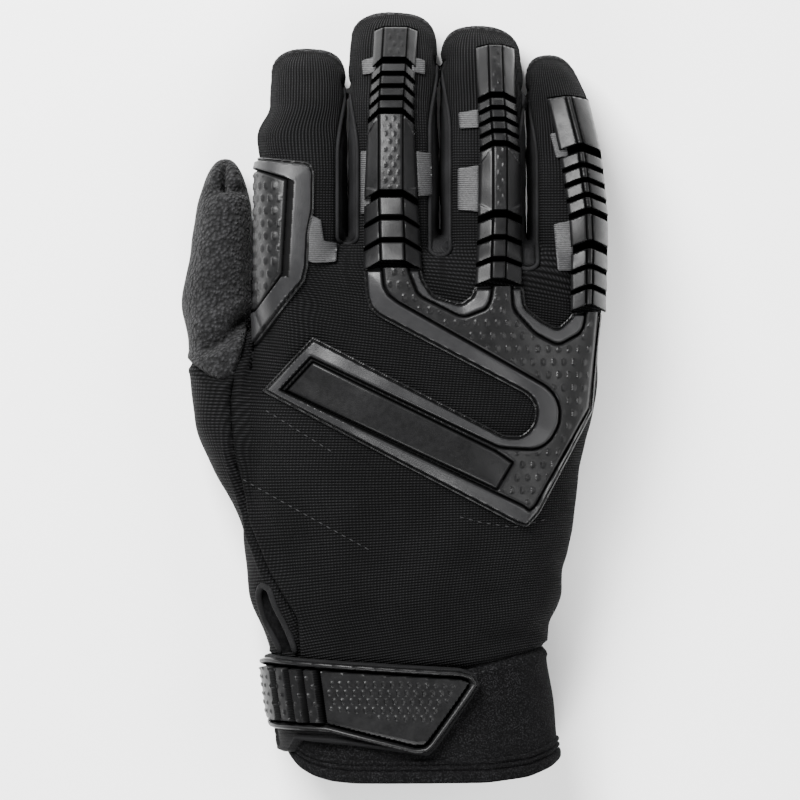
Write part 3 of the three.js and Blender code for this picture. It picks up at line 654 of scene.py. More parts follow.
def plan_mesh(outline, step):
    """Even triangles inside a closed outline, in rows 0.866 of a step apart."""
    border = densified(outline, step, True)
    low, high = border.min(0), border.max(0)
    x, y = np.meshgrid(np.arange(low[0], high[0], step), np.arange(low[1], high[1], step * 0.866))
    x[1::2] += step / 2
    grid = np.stack([x.ravel(), y.ravel()], -1)
    grid = grid[inside(grid, outline)]
    grid = grid[line_distance(grid, border, True) > step * 0.55]
    edges = [(i, (i + 1) % len(border)) for i in range(len(border))]
    points = np.vstack([border, grid])
    made = delaunay_2d_cdt([Vector(p) for p in points.tolist()], edges, [], 1, 1e-5, False)
    plan = np.array([tuple(v) for v in made[0]])
    tris = np.array([f for f in made[2] if len(f) == 3])
    a, b, c = plan[tris[:, 0]], plan[tris[:, 1]], plan[tris[:, 2]]
    turn = (b[:, 0] - a[:, 0]) * (c[:, 1] - a[:, 1]) - (b[:, 1] - a[:, 1]) * (c[:, 0] - a[:, 0])
    tris[turn < 0] = tris[turn < 0][:, ::-1]
    tris = tris[(np.abs(turn) > 1e-7) & inside((a + b + c) / 3, border)]
    used = np.unique(tris)
    index = np.zeros(len(plan), int)
    index[used] = np.arange(len(used))
    return plan[used], index[tris]


def plate_mesh(plan, tris, upper, lower):
    """A closed body: the plan at the upper points, again at the lower ones, and a wall."""
    edges = np.vstack([tris[:, [0, 1]], tris[:, [1, 2]], tris[:, [2, 0]]])
    size = len(plan)
    key, back = edges[:, 0] * size + edges[:, 1], edges[:, 1] * size + edges[:, 0]
    rim = edges[~np.isin(key, back)]
    wall = np.stack([rim[:, 0] + size, rim[:, 1] + size, rim[:, 1], rim[:, 0]], -1)
    return np.vstack([upper, lower]), [tris, tris[:, ::-1] + size, wall]


def plate(outline, relief, place, step, root=-0.9):
    """A plate over an outline, with how deep in a hollow each of its points lies.

    Relief gives the lift and the hollow at plan points, and place sets them on a form.
    """
    plan, tris = plan_mesh(outline, step)
    lift, hollow = relief(plan)
    upper = place(plan, lift)
    lower = place(plan, np.minimum(np.full(len(plan), root), lift - 0.5))
    points, polygons = plate_mesh(plan, tris, upper, lower)
    # Lower points count as fully in a hollow: the rubber's finish paints sides darker downwards
    # as shade.
    return points, polygons, np.concatenate([hollow, np.ones(len(plan))])


def level_plate(outline, lift):
    """A plate of one height on the glove's back."""
    def relief(plan):
        return np.full(len(plan), lift), np.zeros(len(plan))

    return plate(outline, relief, on_glove, PLAIN_STEP)[:2]


def dots(plan, pitch=3.05, rows=3.8, size=1.0):
    """Half-moon pips, every other row shifted: steep on the left, sloping to the right."""
    row = np.floor(plan[:, 1] / rows)
    dy = plan[:, 1] - (row + 0.5) * rows
    shift = (row % 2) * 0.5
    column = np.floor(plan[:, 0] / pitch + shift)
    dx = plan[:, 0] - (column + 0.5 - shift) * pitch
    lens = smooth_step((size - np.hypot(dx, dy * 0.9)) / (0.35 * size))
    wedge = np.clip(1 - (dx + 0.45 * size) / (1.6 * size), 0, 1)
    return lens * wedge * smooth_step((dx + 0.55 * size) / (0.2 * size))


def tube_along(path, radius, sides, squash=1.0):
    """A closed-ended tube round a 3-D path, its oval squashed in height."""
    way = np.gradient(path, axis=0)
    way /= np.linalg.norm(way, axis=1)[:, None]
    side = np.cross(way, [0.0, 0.0, 1.0])
    side /= np.maximum(np.linalg.norm(side, axis=1), 1e-6)[:, None]
    up = np.cross(side, way)
    share = np.arange(len(path)) / (len(path) - 1)
    ends = np.sqrt(np.clip(1 - (np.abs(share * 2 - 1) ** 24), 0.02, 1))[:, None, None]
    angle = np.linspace(0, 2 * np.pi, sides, endpoint=False)
    ring = side[:, None] * np.cos(angle)[None, :, None]
    ring = ring + up[:, None] * np.sin(angle)[None, :, None] * squash
    rings = (path[:, None] + ring * radius * ends).reshape(-1, 3)
    turned = [np.hstack([faces[:, :1], faces[:, :0:-1]])
              for faces in tube_faces(len(path), sides)]
    return np.vstack([rings, path[:1], path[-1:]]), turned


def stitches(path, length, gap, radius, lift):
    """A row of threads along a plan line: each is a small oval bead set on the glove."""
    line = densified(path, 0.4)
    run = np.concatenate([[0], np.cumsum(np.hypot(*np.diff(line, axis=0).T))])
    count = max(1, int(run[-1] / (length + gap)))
    middles = (np.arange(count) + 0.5) * run[-1] / count
    at = np.stack([np.interp(middles, run, line[:, c]) for c in (0, 1)], -1)
    ahead = np.stack([np.interp(middles + 0.3, run, line[:, c]) for c in (0, 1)], -1)
    behind = np.stack([np.interp(middles - 0.3, run, line[:, c]) for c in (0, 1)], -1)
    way = on_glove(ahead, np.full(count, lift)) - on_glove(behind, np.full(count, lift))
    way /= np.linalg.norm(way, axis=1)[:, None]
    side = np.cross(way, [0.0, 0.0, 1.0])
    side /= np.linalg.norm(side, axis=1)[:, None]
    up = np.cross(side, way)
    sides = 6
    around = np.linspace(0, 2 * np.pi, sides, endpoint=False)
    polar = np.radians([8, 50, 90, 130, 172])
    p, q = np.meshgrid(polar, around, indexing="ij")
    local = np.stack([np.cos(p) * length / 2, np.sin(p) * np.cos(q) * radius,
                      np.sin(p) * np.sin(q) * radius], -1).reshape(-1, 3)
    centres = on_glove(at, np.full(count, lift))
    points = centres[:, None] + sum(local[None, :, c:c + 1] * axis[:, None]
                                    for c, axis in enumerate((way, side, up)))
    quads = tube_faces(len(polar), sides)[0]
    ring = np.arange(sides)
    ends = np.stack([ring, len(local) - 1 - ring])
    shift = (np.arange(count) * len(local))[:, None, None]
    return points.reshape(-1, 3), [(quads + shift).reshape(-1, 4),
                                   (ends[None] + shift).reshape(-1, sides)]


def merged(bodies):
    """Several meshes' arrays as one, keeping the size of each polygon."""
    points, polygons, start = [], [], 0
    for body, faces in bodies:
        points.append(body)
        polygons += [f + start for f in faces]
        start += len(body)
    return np.vstack(points), polygons


# Finishes

def feed(tree, socket, value):
    """Links an input to a socket, or sets it to a plain value."""
    if isinstance(value, bpy.types.NodeSocket):
        tree.links.new(value, socket)
    else:
        socket.default_value = value


def node(tree, kind, settings=None, values=(), **sockets):
    """A shader node with its settings, its numbered inputs and its named inputs."""
    made = tree.nodes.new("ShaderNode" + kind)
    for key, value in (settings or {}).items():
        setattr(made, key, value)
    inputs = dict(enumerate(values)) | {k.replace("_", " "): v for k, v in sockets.items()}
    for key, value in inputs.items():
        feed(tree, made.inputs[key], value)
    return made


def maths(tree, operation, *values):
    """The value that one step of arithmetic gives."""
    return node(tree, "Math", {"operation": operation}, values).outputs[0]


def mixed(tree, share, low, high):
    """Two colours mixed by a share."""
    made = tree.nodes.new("ShaderNodeMix")
    made.data_type = "RGBA"
    for place, value in ((0, share), (6, low), (7, high)):
        feed(tree, made.inputs[place], value)
    return made.outputs[2]


def spread(tree, value, low, high, to_low, to_high):
    """A value carried from one range to another, held at its ends."""
    return node(tree, "MapRange", {"clamp": True},
                (value, low, high, to_low, to_high)).outputs[0]


def shade(colour, factor):
    """A colour made darker or paler by a factor, with full alpha."""
    return (*[min(1.0, c * factor) for c in colour], 1.0)


def waves(tree, value, pitch):
    """Half of one plus the sine that repeats every pitch."""
    turn = maths(tree, "MULTIPLY", value, 2 * np.pi / pitch)
    return maths(tree, "MULTIPLY_ADD", maths(tree, "SINE", turn), 0.5, 0.5)


def object_place(tree):
    """X, y and z of the object, in metres."""
    place = node(tree, "TexCoord").outputs["Object"]
    return node(tree, "SeparateXYZ", None, (place,)).outputs


def object_noise(tree, scale, detail=3.0, roughness=0.55):
    """Noise through the object's own space, of scale cells a metre."""
    place = node(tree, "TexCoord").outputs["Object"]
    return node(tree, "TexNoise", None, (), Vector=place, Scale=scale, Detail=detail,
                Roughness=roughness).outputs["Fac"]


# Each builder gives colour, roughness, bump height, and the bump's strength and distance in
# metres. A builder may add a socket that the specular level is multiplied by.

def build_knit(tree, colour):
    """Ribs across the hand that turn to run along the fingertips, and their loops."""
    weave = node(tree, "UVMap", {"uv_map": "weave"}).outputs[0]
    parts = node(tree, "SeparateXYZ", None, (weave,))
    drift = maths(tree, "MULTIPLY", object_noise(tree, 45.0, 2.0), 0.004)
    u = maths(tree, "ADD", parts.outputs[0], drift)
    v = maths(tree, "ADD", parts.outputs[1], drift)
    rows = waves(tree, v, 0.82 * WEAVE_UNIT)
    columns = waves(tree, u, 0.98 * WEAVE_UNIT)
    grain = node(tree, "Attribute", {"attribute_name": "grain"}).outputs["Fac"]
    across = maths(tree, "MULTIPLY", rows, maths(tree, "MULTIPLY_ADD", columns, 0.68, 0.32))
    along = maths(tree, "MULTIPLY", columns, maths(tree, "MULTIPLY_ADD", rows, 0.4, 0.6))
    turned = maths(tree, "MULTIPLY", maths(tree, "SUBTRACT", along, across), grain)
    height = maths(tree, "ADD", across, turned)
    patch = object_noise(tree, 60.0, 4.0)
    fuzz = object_noise(tree, 2600.0, 2.0)
    # Painted light and shade: near black in the ribs' valleys, paler on their crests, patchy at
    # random.
    shine = maths(tree, "MULTIPLY", height, spread(tree, patch, 0.3, 0.7, 0.7, 1.2))
    tone = mixed(tree, shine, shade(colour, 0.04), shade(colour, 2.9))
    rough = spread(tree, height, 0, 1, 0.95, 0.7)
    relief = maths(tree, "MULTIPLY_ADD", fuzz, 0.25, height)
    return tone, rough, relief, 1.0, 0.0006


def build_suede(tree, colour):
    """Pebbled nap: cells of about a millimetre, mottled, with a fine tooth over them."""
    place = node(tree, "TexCoord").outputs["Object"]
    pebbles = node(tree, "TexVoronoi", {"feature": "SMOOTH_F1"}, (), Vector=place, Scale=950.0,
                   Smoothness=0.6).outputs["Distance"]
    mottle = object_noise(tree, 420.0, 5.0, 0.7)
    nap = object_noise(tree, 2400.0, 3.0, 0.7)
    patch = object_noise(tree, 70.0, 3.0)
    spot = maths(tree, "MULTIPLY", spread(tree, mottle, 0.35, 0.68, 0.15, 1.0),
                 spread(tree, patch, 0.3, 0.7, 0.7, 1.25))
    # Painted highlight and shade: pebble crowns paler, their edges darker, over the random
    # mottle.
    spot = maths(tree, "MULTIPLY", spot, spread(tree, pebbles, 0.2, 0.62, 1.0, 0.1))
    tone = mixed(tree, spot, shade(colour, 0.4), shade(colour, 3.2))
    rough = spread(tree, nap, 0.3, 0.7, 0.98, 0.8)
    relief = maths(tree, "ADD", maths(tree, "MULTIPLY", nap, 0.6),
                   maths(tree, "MULTIPLY", pebbles, -2.2))
    relief = maths(tree, "ADD", relief, maths(tree, "MULTIPLY", mottle, 0.8))
    return tone, rough, relief, 1.0, 0.0006


def build_stretch(tree, colour):
    """Smooth stretch cloth with a fine diagonal weave."""
    x, y, z = object_place(tree)
    slant = maths(tree, "ADD", maths(tree, "ADD", y, z), maths(tree, "MULTIPLY", x, 0.6))
    ribs = waves(tree, slant, 0.00052)
    fuzz = object_noise(tree, 1800.0, 3.0)
    patch = object_noise(tree, 110.0, 3.0)
    tone = mixed(tree, spread(tree, patch, 0.3, 0.7, 0.0, 1.0), shade(colour, 0.6),
                 shade(colour, 1.5))
    rough = spread(tree, fuzz, 0.3, 0.7, 0.82, 0.62)
    return tone, rough, maths(tree, "MULTIPLY_ADD", fuzz, 0.6, ribs), 0.5, 0.00016


def build_pile(tree, colour):
    """Brushed loops: coarse and fine noise; the coarse noise paints shade nearly black in the
    hollows.
    """
    coarse = object_noise(tree, 700.0, 4.0, 0.7)
    fine = object_noise(tree, 3200.0, 3.0, 0.8)
    # Painted shade: the colour follows the coarse noise, near black where it is low.
    tone = mixed(tree, spread(tree, coarse, 0.35, 0.7, 0.0, 1.0), shade(colour, 0.25),
                 shade(colour, 1.3))
    rough = spread(tree, fine, 0.3, 0.7, 1.0, 0.85)
    return tone, rough, maths(tree, "ADD", coarse, fine), 1.0, 0.0007


def build_neoprene(tree, colour):
    """Matte foam cloth with fine pale specks."""
    specks = object_noise(tree, 2300.0, 2.0, 0.6)
    patch = object_noise(tree, 80.0, 3.0)
    share = maths(tree, "MULTIPLY", spread(tree, specks, 0.5, 0.68, 0.0, 1.0),
                  spread(tree, patch, 0.3, 0.7, 0.6, 1.2))
    tone = mixed(tree, share, shade(colour, 0.45), shade(colour, 3.4))
    rough = spread(tree, specks, 0.3, 0.7, 1.0, 0.88)
    return tone, rough, specks, 0.8, 0.0004


def build_rubber(tree, colour):
    """Satin moulded rubber: fine tooth, faint cloudy wear, and painted shade, near black, down
    in the hollows.

    The hollow attribute is 1 at the bottom of a groove and below 0 on bands, which get a
    painted highlight in a paler colour and a glossier polish.
    """
    tooth = object_noise(tree, 3000.0, 2.0)
    cloud = object_noise(tree, 120.0, 5.0, 0.65)
    scuff = object_noise(tree, 520.0, 6.0, 0.75)
    hollow = node(tree, "Attribute", {"attribute_name": "hollow"}).outputs["Fac"]
    wear_and_highlight = mixed(tree, spread(tree, cloud, 0.35, 0.7, 0.0, 1.0), shade(colour, 0.6),
                 shade(colour, 1.3))
    # Painted highlight: where the hollow attribute is below 0, on the bands, the colour is made
    # paler.
    highlight_and_polish = spread(tree, hollow, -HIGHLIGHT_AND_POLISH, 0.0, 0.6, 0.0)
    wear_and_highlight = mixed(tree, highlight_and_polish, wear_and_highlight, shade(colour, 4.0))
    # Painted shade: the colour goes near black as the hollow attribute rises to 1 in grooves and
    # gaps.
    tone = mixed(tree, hollow, wear_and_highlight, shade(colour, 0.1))
    rough = maths(tree, "ADD", spread(tree, scuff, 0.35, 0.7, 0.34, 0.48),
                  maths(tree, "MULTIPLY", maths(tree, "MAXIMUM", hollow, 0.0), 0.45))
    gloss = maths(tree, "SUBTRACT", 1.0, hollow)
    return tone, rough, maths(tree, "MULTIPLY_ADD", cloud, 0.3, tooth), 0.35, 0.00012, gloss


def build_strap(tree, colour):
    """Woven webbing: short ribs one over the other."""
    x, y, z = object_place(tree)
    warp = waves(tree, y, 0.0009)
    weft = waves(tree, maths(tree, "ADD", x, z), 0.0007)
    fuzz = object_noise(tree, 2200.0, 3.0)
    height = maths(tree, "MULTIPLY", warp, weft)
    # Painted light and shade: paler on the weave's raised ribs, darker between them.
    tone = mixed(tree, height, shade(colour, 0.6), shade(colour, 1.7))
    rough = spread(tree, fuzz, 0.3, 0.7, 0.9, 0.7)
    return tone, rough, maths(tree, "MULTIPLY_ADD", fuzz, 0.4, height), 0.6, 0.0002


def build_flange(tree, colour):
    """Sewn fabric tabs: close satin stitches across, paler than the rubber."""
    rows = waves(tree, object_place(tree)[1], 0.00062)
    fuzz = object_noise(tree, 1500.0, 3.0)
    thread_share = maths(tree, "MULTIPLY", rows, spread(tree, fuzz, 0.3, 0.65, 0.4, 1.1))
    # Pale thread on stitch crests, darker between: partly the thread's own colour, partly painted
    # light and shade.
    tone = mixed(tree, thread_share, shade(colour, 0.9), shade(colour, 8.5))
    rough = spread(tree, fuzz, 0.3, 0.7, 0.7, 0.5)
    return tone, rough, maths(tree, "MULTIPLY_ADD", fuzz, 0.6, rows), 0.7, 0.0002


def build_thread(tree, colour):
    """Twisted thread: fine noise from dark to pale."""
    twist = object_noise(tree, 2600.0, 3.0)
    tone = mixed(tree, twist, shade(colour, 1.0), shade(colour, 4.0))
    return tone, spread(tree, twist, 0.3, 0.7, 0.75, 0.5), twist, 0.4, 0.0001


# Finishes as (slot, builder, colour, specular level, sheen)
FINISHES = {
    "ribbed_knit": ("knit", build_knit, "knit", 0.06, 0.0),
    "pebbled_suede": ("suede", build_suede, "suede", 0.1, 0.03),
    "stretch_cloth": ("lycra", build_stretch, "stretch", 0.1, 0.0),
    "loop_pile": ("fuzzy", build_pile, "stretch", 0.05, 0.0),
    "speckled_neoprene": ("neoprene", build_neoprene, "cuff", 0.05, 0.0),
    "moulded_rubber": ("rubber", build_rubber, "rubber", 0.17, 0.0),
    "strap_webbing": ("strap", build_strap, "stretch", 0.1, 0.0),
    "sewn_tabs": ("rubber", build_flange, "rubber", 0.45, 0.0),
    "thread": ("knit", build_thread, "knit", 0.15, 0.0),
}


def finish_of(name):
    """The named material, made when it is first asked for."""
    material = bpy.data.materials.get(name)
    if material:
        return material
    _, build, colour, specular, sheen = FINISHES[name]
    material = bpy.data.materials.new(name)
    material.use_nodes = True
    tree = material.node_tree
    shader = tree.nodes["Principled BSDF"]
    shader.inputs["Sheen Weight"].default_value = sheen
    shader.inputs["Specular IOR Level"].default_value = specular
    tone, rough, height, strength, depth, *gloss = build(
        tree, getattr(bpy.context.scene.glove_colours, colour))
    for share in gloss:
        level = maths(tree, "MULTIPLY", share, specular)
        tree.links.new(level, shader.inputs["Specular IOR Level"])
    tree.links.new(tone, shader.inputs["Base Color"])
    tree.links.new(rough, shader.inputs["Roughness"])
    bump = node(tree, "Bump", None, (), Strength=strength, Distance=depth, Height=height)
    tree.links.new(bump.outputs[0], shader.inputs["Normal"])
    return material


# Cloth and suede

# The skin's panels, with what lies past the cuff's mouth and the slit's opening
BACK, PALM, THUMB_PANEL, SIDE, STRIP_0, STRIP_1, STRIP_2, CUFF, GONE, OPEN = range(10)
PANELS = {
    BACK: ("knit_back", "back_panel", "ribbed_knit"),
    PALM: ("suede_palm", "palm_panel", "pebbled_suede"),
    THUMB_PANEL: ("suede_thumb", "thumb_panel", "pebbled_suede"),
    SIDE: ("knit_thumb_side", "thumb_side_panel", "ribbed_knit"),
    STRIP_0: ("strip_index_middle", "fourchette_index_middle", "stretch_cloth"),
    STRIP_1: ("strip_middle_ring", "fourchette_middle_ring", "stretch_cloth"),
    STRIP_2: ("strip_ring_little", "fourchette_ring_little", "stretch_cloth"),
    CUFF: ("neoprene_cuff", "cuff", "speckled_neoprene"),
}


def seam_lines():
    """Seam height along y for each finger's column: along the hand, then half way up it."""
    lines = []
    for finger in FINGERS:
        ys = np.concatenate([CROTCH_Y + np.array([7.0, 18, 29, 39]), finger.tip - [14.0, 7]])
        _, _, top, bottom = finger.at(ys)
        zs = (top + bottom) / 2
        ys, zs = np.append(ys, 144), np.append(zs, zs[-1] - 3)
        start = THUMB_SIDE_SEAM if finger is INDEX else HAND_SEAM
        lines.append(np.vstack([start, np.stack([ys, zs], -1)]))
    return lines


SEAMS = seam_lines()


def strip_width(y, i):
    """Half width of strip i seen from above, drawn in smoothly over its last 22 mm."""
    return STRIP_WIDTH * (0.2 + 0.8 * smooth_step((STRIP_TOPS[i] - y) / 22))


def over_seam(points):
    """Height over the seam between back and palm, in each point's own finger column."""
    x, y, z = points.T
    column = np.searchsorted(PARTINGS, x)
    heights = np.stack([np.interp(y, line[:, 0], line[:, 1]) for line in SEAMS])
    return z - heights[column, np.arange(len(x))]


def plan_line(pixels, points):
    """Height in the photograph's plane over a line that runs from left to right."""
    line = from_photo(pixels)
    return points[:, 1] - np.interp(points[:, 0], line[:, 0], line[:, 1])


def levels(points):
    """The seams as level sets: each is nought on its seam.

    In order they are the back's edge, a strip's edge above, its edge below, the crotches,
    the strips' upper ends, the thumb, the thumb's side, the cuff's top and mouth, and the slit.
    """
    lift = over_seam(points)
    plan = points[:, :2]
    hem = size_of("hem")
    near = np.abs(points[:, 0, None] - PARTINGS[None]).argmin(1)
    return np.stack([
        lift,
        strip_width(points[:, 1], near) - np.abs(points[:, 0] - PARTINGS[near]),
        lift + STRIP_HALF,
        points[:, 1] - CROTCH_YS[near],
        points[:, 1] - STRIP_TOPS[near],
        signed_distance(plan, from_photo(THUMB_ZONE_PX)),
        signed_distance(plan, from_photo(SIDE_ZONE_PX)),
        plan_line(CUFF_TOP_PX, points),
        plan_line(CUFF_MOUTH_PX, points) - hem + 0.6,
        signed_distance(np.stack([HAND.unrolled(points), points[:, 1]], -1),
                        HAND.flat(from_photo(SLIT_PX))),
    ])


# Which levels two panels can meet on
SEAM_OF = {
    frozenset((BACK, PALM)): (0,), frozenset((SIDE, PALM)): (0,),
    frozenset((BACK, SIDE)): (6,), frozenset((BACK, OPEN)): (9,), frozenset((SIDE, OPEN)): (9,),
    **{frozenset((a, THUMB_PANEL)): (5,) for a in (BACK, PALM, SIDE)},
    **{frozenset((a, CUFF)): (7,) for a in (BACK, PALM, SIDE, OPEN)},
    frozenset((CUFF, GONE)): (8,),
    **{frozenset((BACK, s)): (1, 3, 4) for s in (STRIP_0, STRIP_1, STRIP_2)},
    **{frozenset((PALM, s)): (2, 3, 4) for s in (STRIP_0, STRIP_1, STRIP_2)},
}
# How deep each seam is pulled in, by its place in levels
SEAM_DEPTH = np.array([0.9, 0.5, 0.8, 0.5, 0.5, 1.1, 1.3, 1.2, 0.2, 0.4])


def panel_of(points):
    """The panel that each point of the skin belongs to."""
    lift, in_strip, over_edge, past_crotch, _, thumb, side, over_cuff, over_mouth, slit = (
        levels(points))
    middles = np.array([(f.values[4, 0] + f.values[4, 1]) / 2 for f in FINGERS])
    panel = np.where(lift > 0, BACK, PALM)
    for i in range(3):
        between = (points[:, 0] > middles[i]) & (points[:, 0] < middles[i + 1])
        along = (past_crotch > 0) & (points[:, 1] < STRIP_TOPS[i])
        beside = (in_strip > 0) & (lift > 0) | (np.abs(lift) < STRIP_HALF)
        panel[between & along & beside & (over_edge > 0)] = STRIP_0 + i
    panel[(side > 0) & (panel == BACK)] = SIDE
    panel[slit > 0] = OPEN
    panel[thumb > 0] = THUMB_PANEL
    panel[over_cuff < 0] = CUFF
    panel[over_mouth < 0] = GONE
    return panel


def joined_skin():
    """A mesh of the union of all the forms' tubes, its larger faces cut into triangles."""
    tubes = []
    for i, form in enumerate(ALL_FORMS):
        points, polygons = form.tube(size_of("cell"))
        mesh = bpy.data.meshes.new(f"form_{i}")
        mesh.from_pydata(points * MM, [], [f for p in polygons for f in p.tolist()])
        tube = bpy.data.objects.new(f"form_{i}", mesh)
        bpy.context.scene.collection.objects.link(tube)
        tubes.append(tube)
    for tube in tubes[1:]:
        join = tubes[0].modifiers.new("Join", "BOOLEAN")
        join.operation, join.solver, join.object = "UNION", "MANIFOLD", tube
    triangulate = tubes[0].modifiers.new("Corners", "TRIANGULATE")
    triangulate.min_vertices = 5
    graph = bpy.context.evaluated_depsgraph_get()
    skin = bpy.data.meshes.new_from_object(tubes[0].evaluated_get(graph))
    for tube in tubes:
        bpy.data.meshes.remove(tube.data)
    return skin


def arrays_of(mesh):
    """Points in mm, corner indices, corner counts and edges of a mesh."""
    points = np.empty(len(mesh.vertices) * 3, np.float32)
    mesh.vertices.foreach_get("co", points)
    corners = np.empty(len(mesh.loops), np.int32)
    mesh.loops.foreach_get("vertex_index", corners)
    counts = np.empty(len(mesh.polygons), np.int32)
    mesh.polygons.foreach_get("loop_total", counts)
    edges = np.empty(len(mesh.edges) * 2, np.int32)
    mesh.edges.foreach_get("vertices", edges)
    return points.reshape(-1, 3).astype(float) / MM, corners, counts, edges.reshape(-1, 2)


def normals_of(points, corners, counts):
    """Vertex normals: the sum of the cross products of each face's fan."""
    first = np.cumsum(counts) - counts
    a, b, c = (points[corners[first + k]] for k in range(3))
    d = points[corners[first + counts - 1]]
    face = np.cross(b - a, c - a) + np.cross(c - a, d - a)
    owner = np.repeat(np.arange(len(counts)), counts)
    total = np.stack([np.bincount(corners, face[owner, k], len(points)) for k in range(3)], -1)
    return total / np.maximum(np.linalg.norm(total, axis=1), 1e-9)[:, None]


def softened(points, edges, weight, passes):
    """Points moved half way to the mean of their neighbours, by weight, several times."""
    degree = np.bincount(edges.ravel(), minlength=len(points))
    for _ in range(passes):
        total = np.stack([
            np.bincount(edges[:, 0], points[edges[:, 1], k], len(points))
            + np.bincount(edges[:, 1], points[edges[:, 0], k], len(points))
            for k in range(3)], -1)
        mean = total / np.maximum(degree, 1)[:, None]
        points = points + (mean - points) * (weight * 0.5)[:, None]
    return points


def on_seams(points, normals, panel, corners, counts):
    """Moves the points between two panels onto their seam, in two passes.

    A point moves along the skin, against the slope of the level, by the level over the
    slope's size, and no further than farthest. Gives those points and the level of each.
    """
    probe, farthest = 0.05, 1.3
    owner = np.repeat(np.arange(len(counts)), counts)
    pairs = np.unique(corners.astype(np.int64) * 16 + panel[owner])
    vertex, kind = pairs // 16, pairs % 16
    seam_points, seam_level = [], []
    for both, allowed in SEAM_OF.items():
        a, b = sorted(both)
        shared = np.intersect1d(vertex[kind == a], vertex[kind == b])
        if len(shared) == 0:
            continue
        for _ in range(2):
            value = levels(points[shared])[list(allowed)]
            pick = np.abs(value).argmin(0)
            rows = np.arange(len(shared))
            slope = np.stack([
                (levels(points[shared] + step)[list(allowed)][pick, rows]
                 - levels(points[shared] - step)[list(allowed)][pick, rows]) / (2 * probe)
                for step in np.eye(3) * probe], -1)
            flat = slope - normals[shared] * (slope * normals[shared]).sum(1)[:, None]
            size = np.maximum((flat ** 2).sum(1), 0.04)
            move = -flat * (value[pick, rows] / size)[:, None]
            far = np.linalg.norm(move, axis=1)
            move *= np.minimum(1, farthest / np.maximum(far, 1e-9))[:, None]
            points[shared] += move
        seam_points.append(shared)
        seam_level.append(np.array(allowed)[pick])
    return np.concatenate(seam_points), np.concatenate(seam_level)


def nearest(points, seeds):
    """Distance from each point to its nearest seed within reach, and which seed that is."""
    best = np.full(len(points), np.inf)
    which = np.zeros(len(points), int)
    order = np.argsort(points[:, 1])
    seed_order = np.argsort(seeds[:, 1])
    sorted_seeds = seeds[seed_order]
    batch = 1500
    for start in range(0, len(points), batch):
        rows = order[start:start + batch]
        low, high = points[rows, 1].min() - SEAM_REACH, points[rows, 1].max() + SEAM_REACH
        i, j = np.searchsorted(sorted_seeds[:, 1], [low, high])
        if i == j:
            continue
        gap = ((points[rows, None] - sorted_seeds[None, i:j]) ** 2).sum(-1)
        k = gap.argmin(1)
        best[rows] = np.sqrt(gap[np.arange(len(rows)), k])
        which[rows] = seed_order[i + k]
    return best, which


def flat_pattern(points):
    """Pattern coordinates of cloth: round the hand, then round each finger, and along y.

    Across the back the rows slope up to the right near the cuff, by a share of x that grows
    towards it, and down to the right under the knuckles.
    """
    x, y = points[:, 0], points[:, 1]
    hand = HAND.unrolled(points)
    column = np.searchsorted(PARTINGS, x)
    fingers = np.stack([f.unrolled(points) for f in FINGERS])[column, np.arange(len(y))]
    share = smooth_step((y - 26) / 20)
    near_cuff = smooth_step((-10 - y) / 90)
    at_knuckles = smooth_step((y + 15) / 40) * (1 - share)
    rows = y - 0.2 * near_cuff * (x - 5) + 0.14 * at_knuckles * (x + 10)
    return np.stack([hand + (fingers - hand) * share, rows], -1)


def along_grain(points):
    """How far the ribs have turned to run along the finger: 0 on the hand, 1 at the tip."""
    column = np.searchsorted(PARTINGS, points[:, 0])
    tips = np.array([f.tip for f in FINGERS])[column]
    return smooth_step((points[:, 1] - (tips - 46)) / 22)


class MakePanels(Operator):
    """Cloth and suede panels: one skin over the hand's forms, parted along its seams"""

    bl_idname = "glove.make_panels"
    bl_label = "Cloth and suede panels"

    def execute(self, context):
        points, corners, counts, edges = arrays_of(joined_skin())
        crease_width = 4.0
        gaps = np.sort(np.stack([form.distance(points) for form in ALL_FORMS]), 0)
        crease = np.clip(1 - np.abs(gaps[1]) / crease_width, 0, 1)
        points = softened(points, edges, crease, passes=26)
        normals = normals_of(points, corners, counts)
        points += normals * unevenness(points)[:, None]
        owner = np.repeat(np.arange(len(counts)), counts)
        centres = np.stack([np.bincount(owner, points[corners, k]) for k in range(3)], -1)
        panel = panel_of(centres / counts[:, None])
        seam, level = on_seams(points, normals, panel, corners, counts)
        gap, which = nearest(points, points[seam])
        depth = SEAM_DEPTH[level][which] * size_of("seam_depth")
        welt_share, welt_place, welt_width = 0.45, 2.1, 1.0
        dip = -depth * bell(gap, size_of("seam_width"))
        dip += depth * welt_share * bell(gap - welt_place, welt_width)
        normals = normals_of(points, corners, counts)
        weave, grain = flat_pattern(points), along_grain(points)
        points += normals * np.where(gap < SEAM_REACH, dip, 0)[:, None]
        points[:, 2] = resting(points[:, 2])
        first = np.cumsum(counts) - counts
        for kind, (name, cad_node, finish) in PANELS.items():
            faces = panel == kind
            polygons = [corners[first[faces & (counts == n)][:, None] + np.arange(n)]
                        for n in (3, 4)]
            used, index = np.unique(np.concatenate([p.ravel() for p in polygons]),
                                    return_inverse=True)
            cut = polygons[0].size
            local = [index[:cut].reshape(-1, 3), index[cut:].reshape(-1, 4)]
            make_piece(name, points[used], local, finish, (cad_node,), weave[used],
                       wall=size_of("wall"), grain=grain[used])
        return {"FINISHED"}


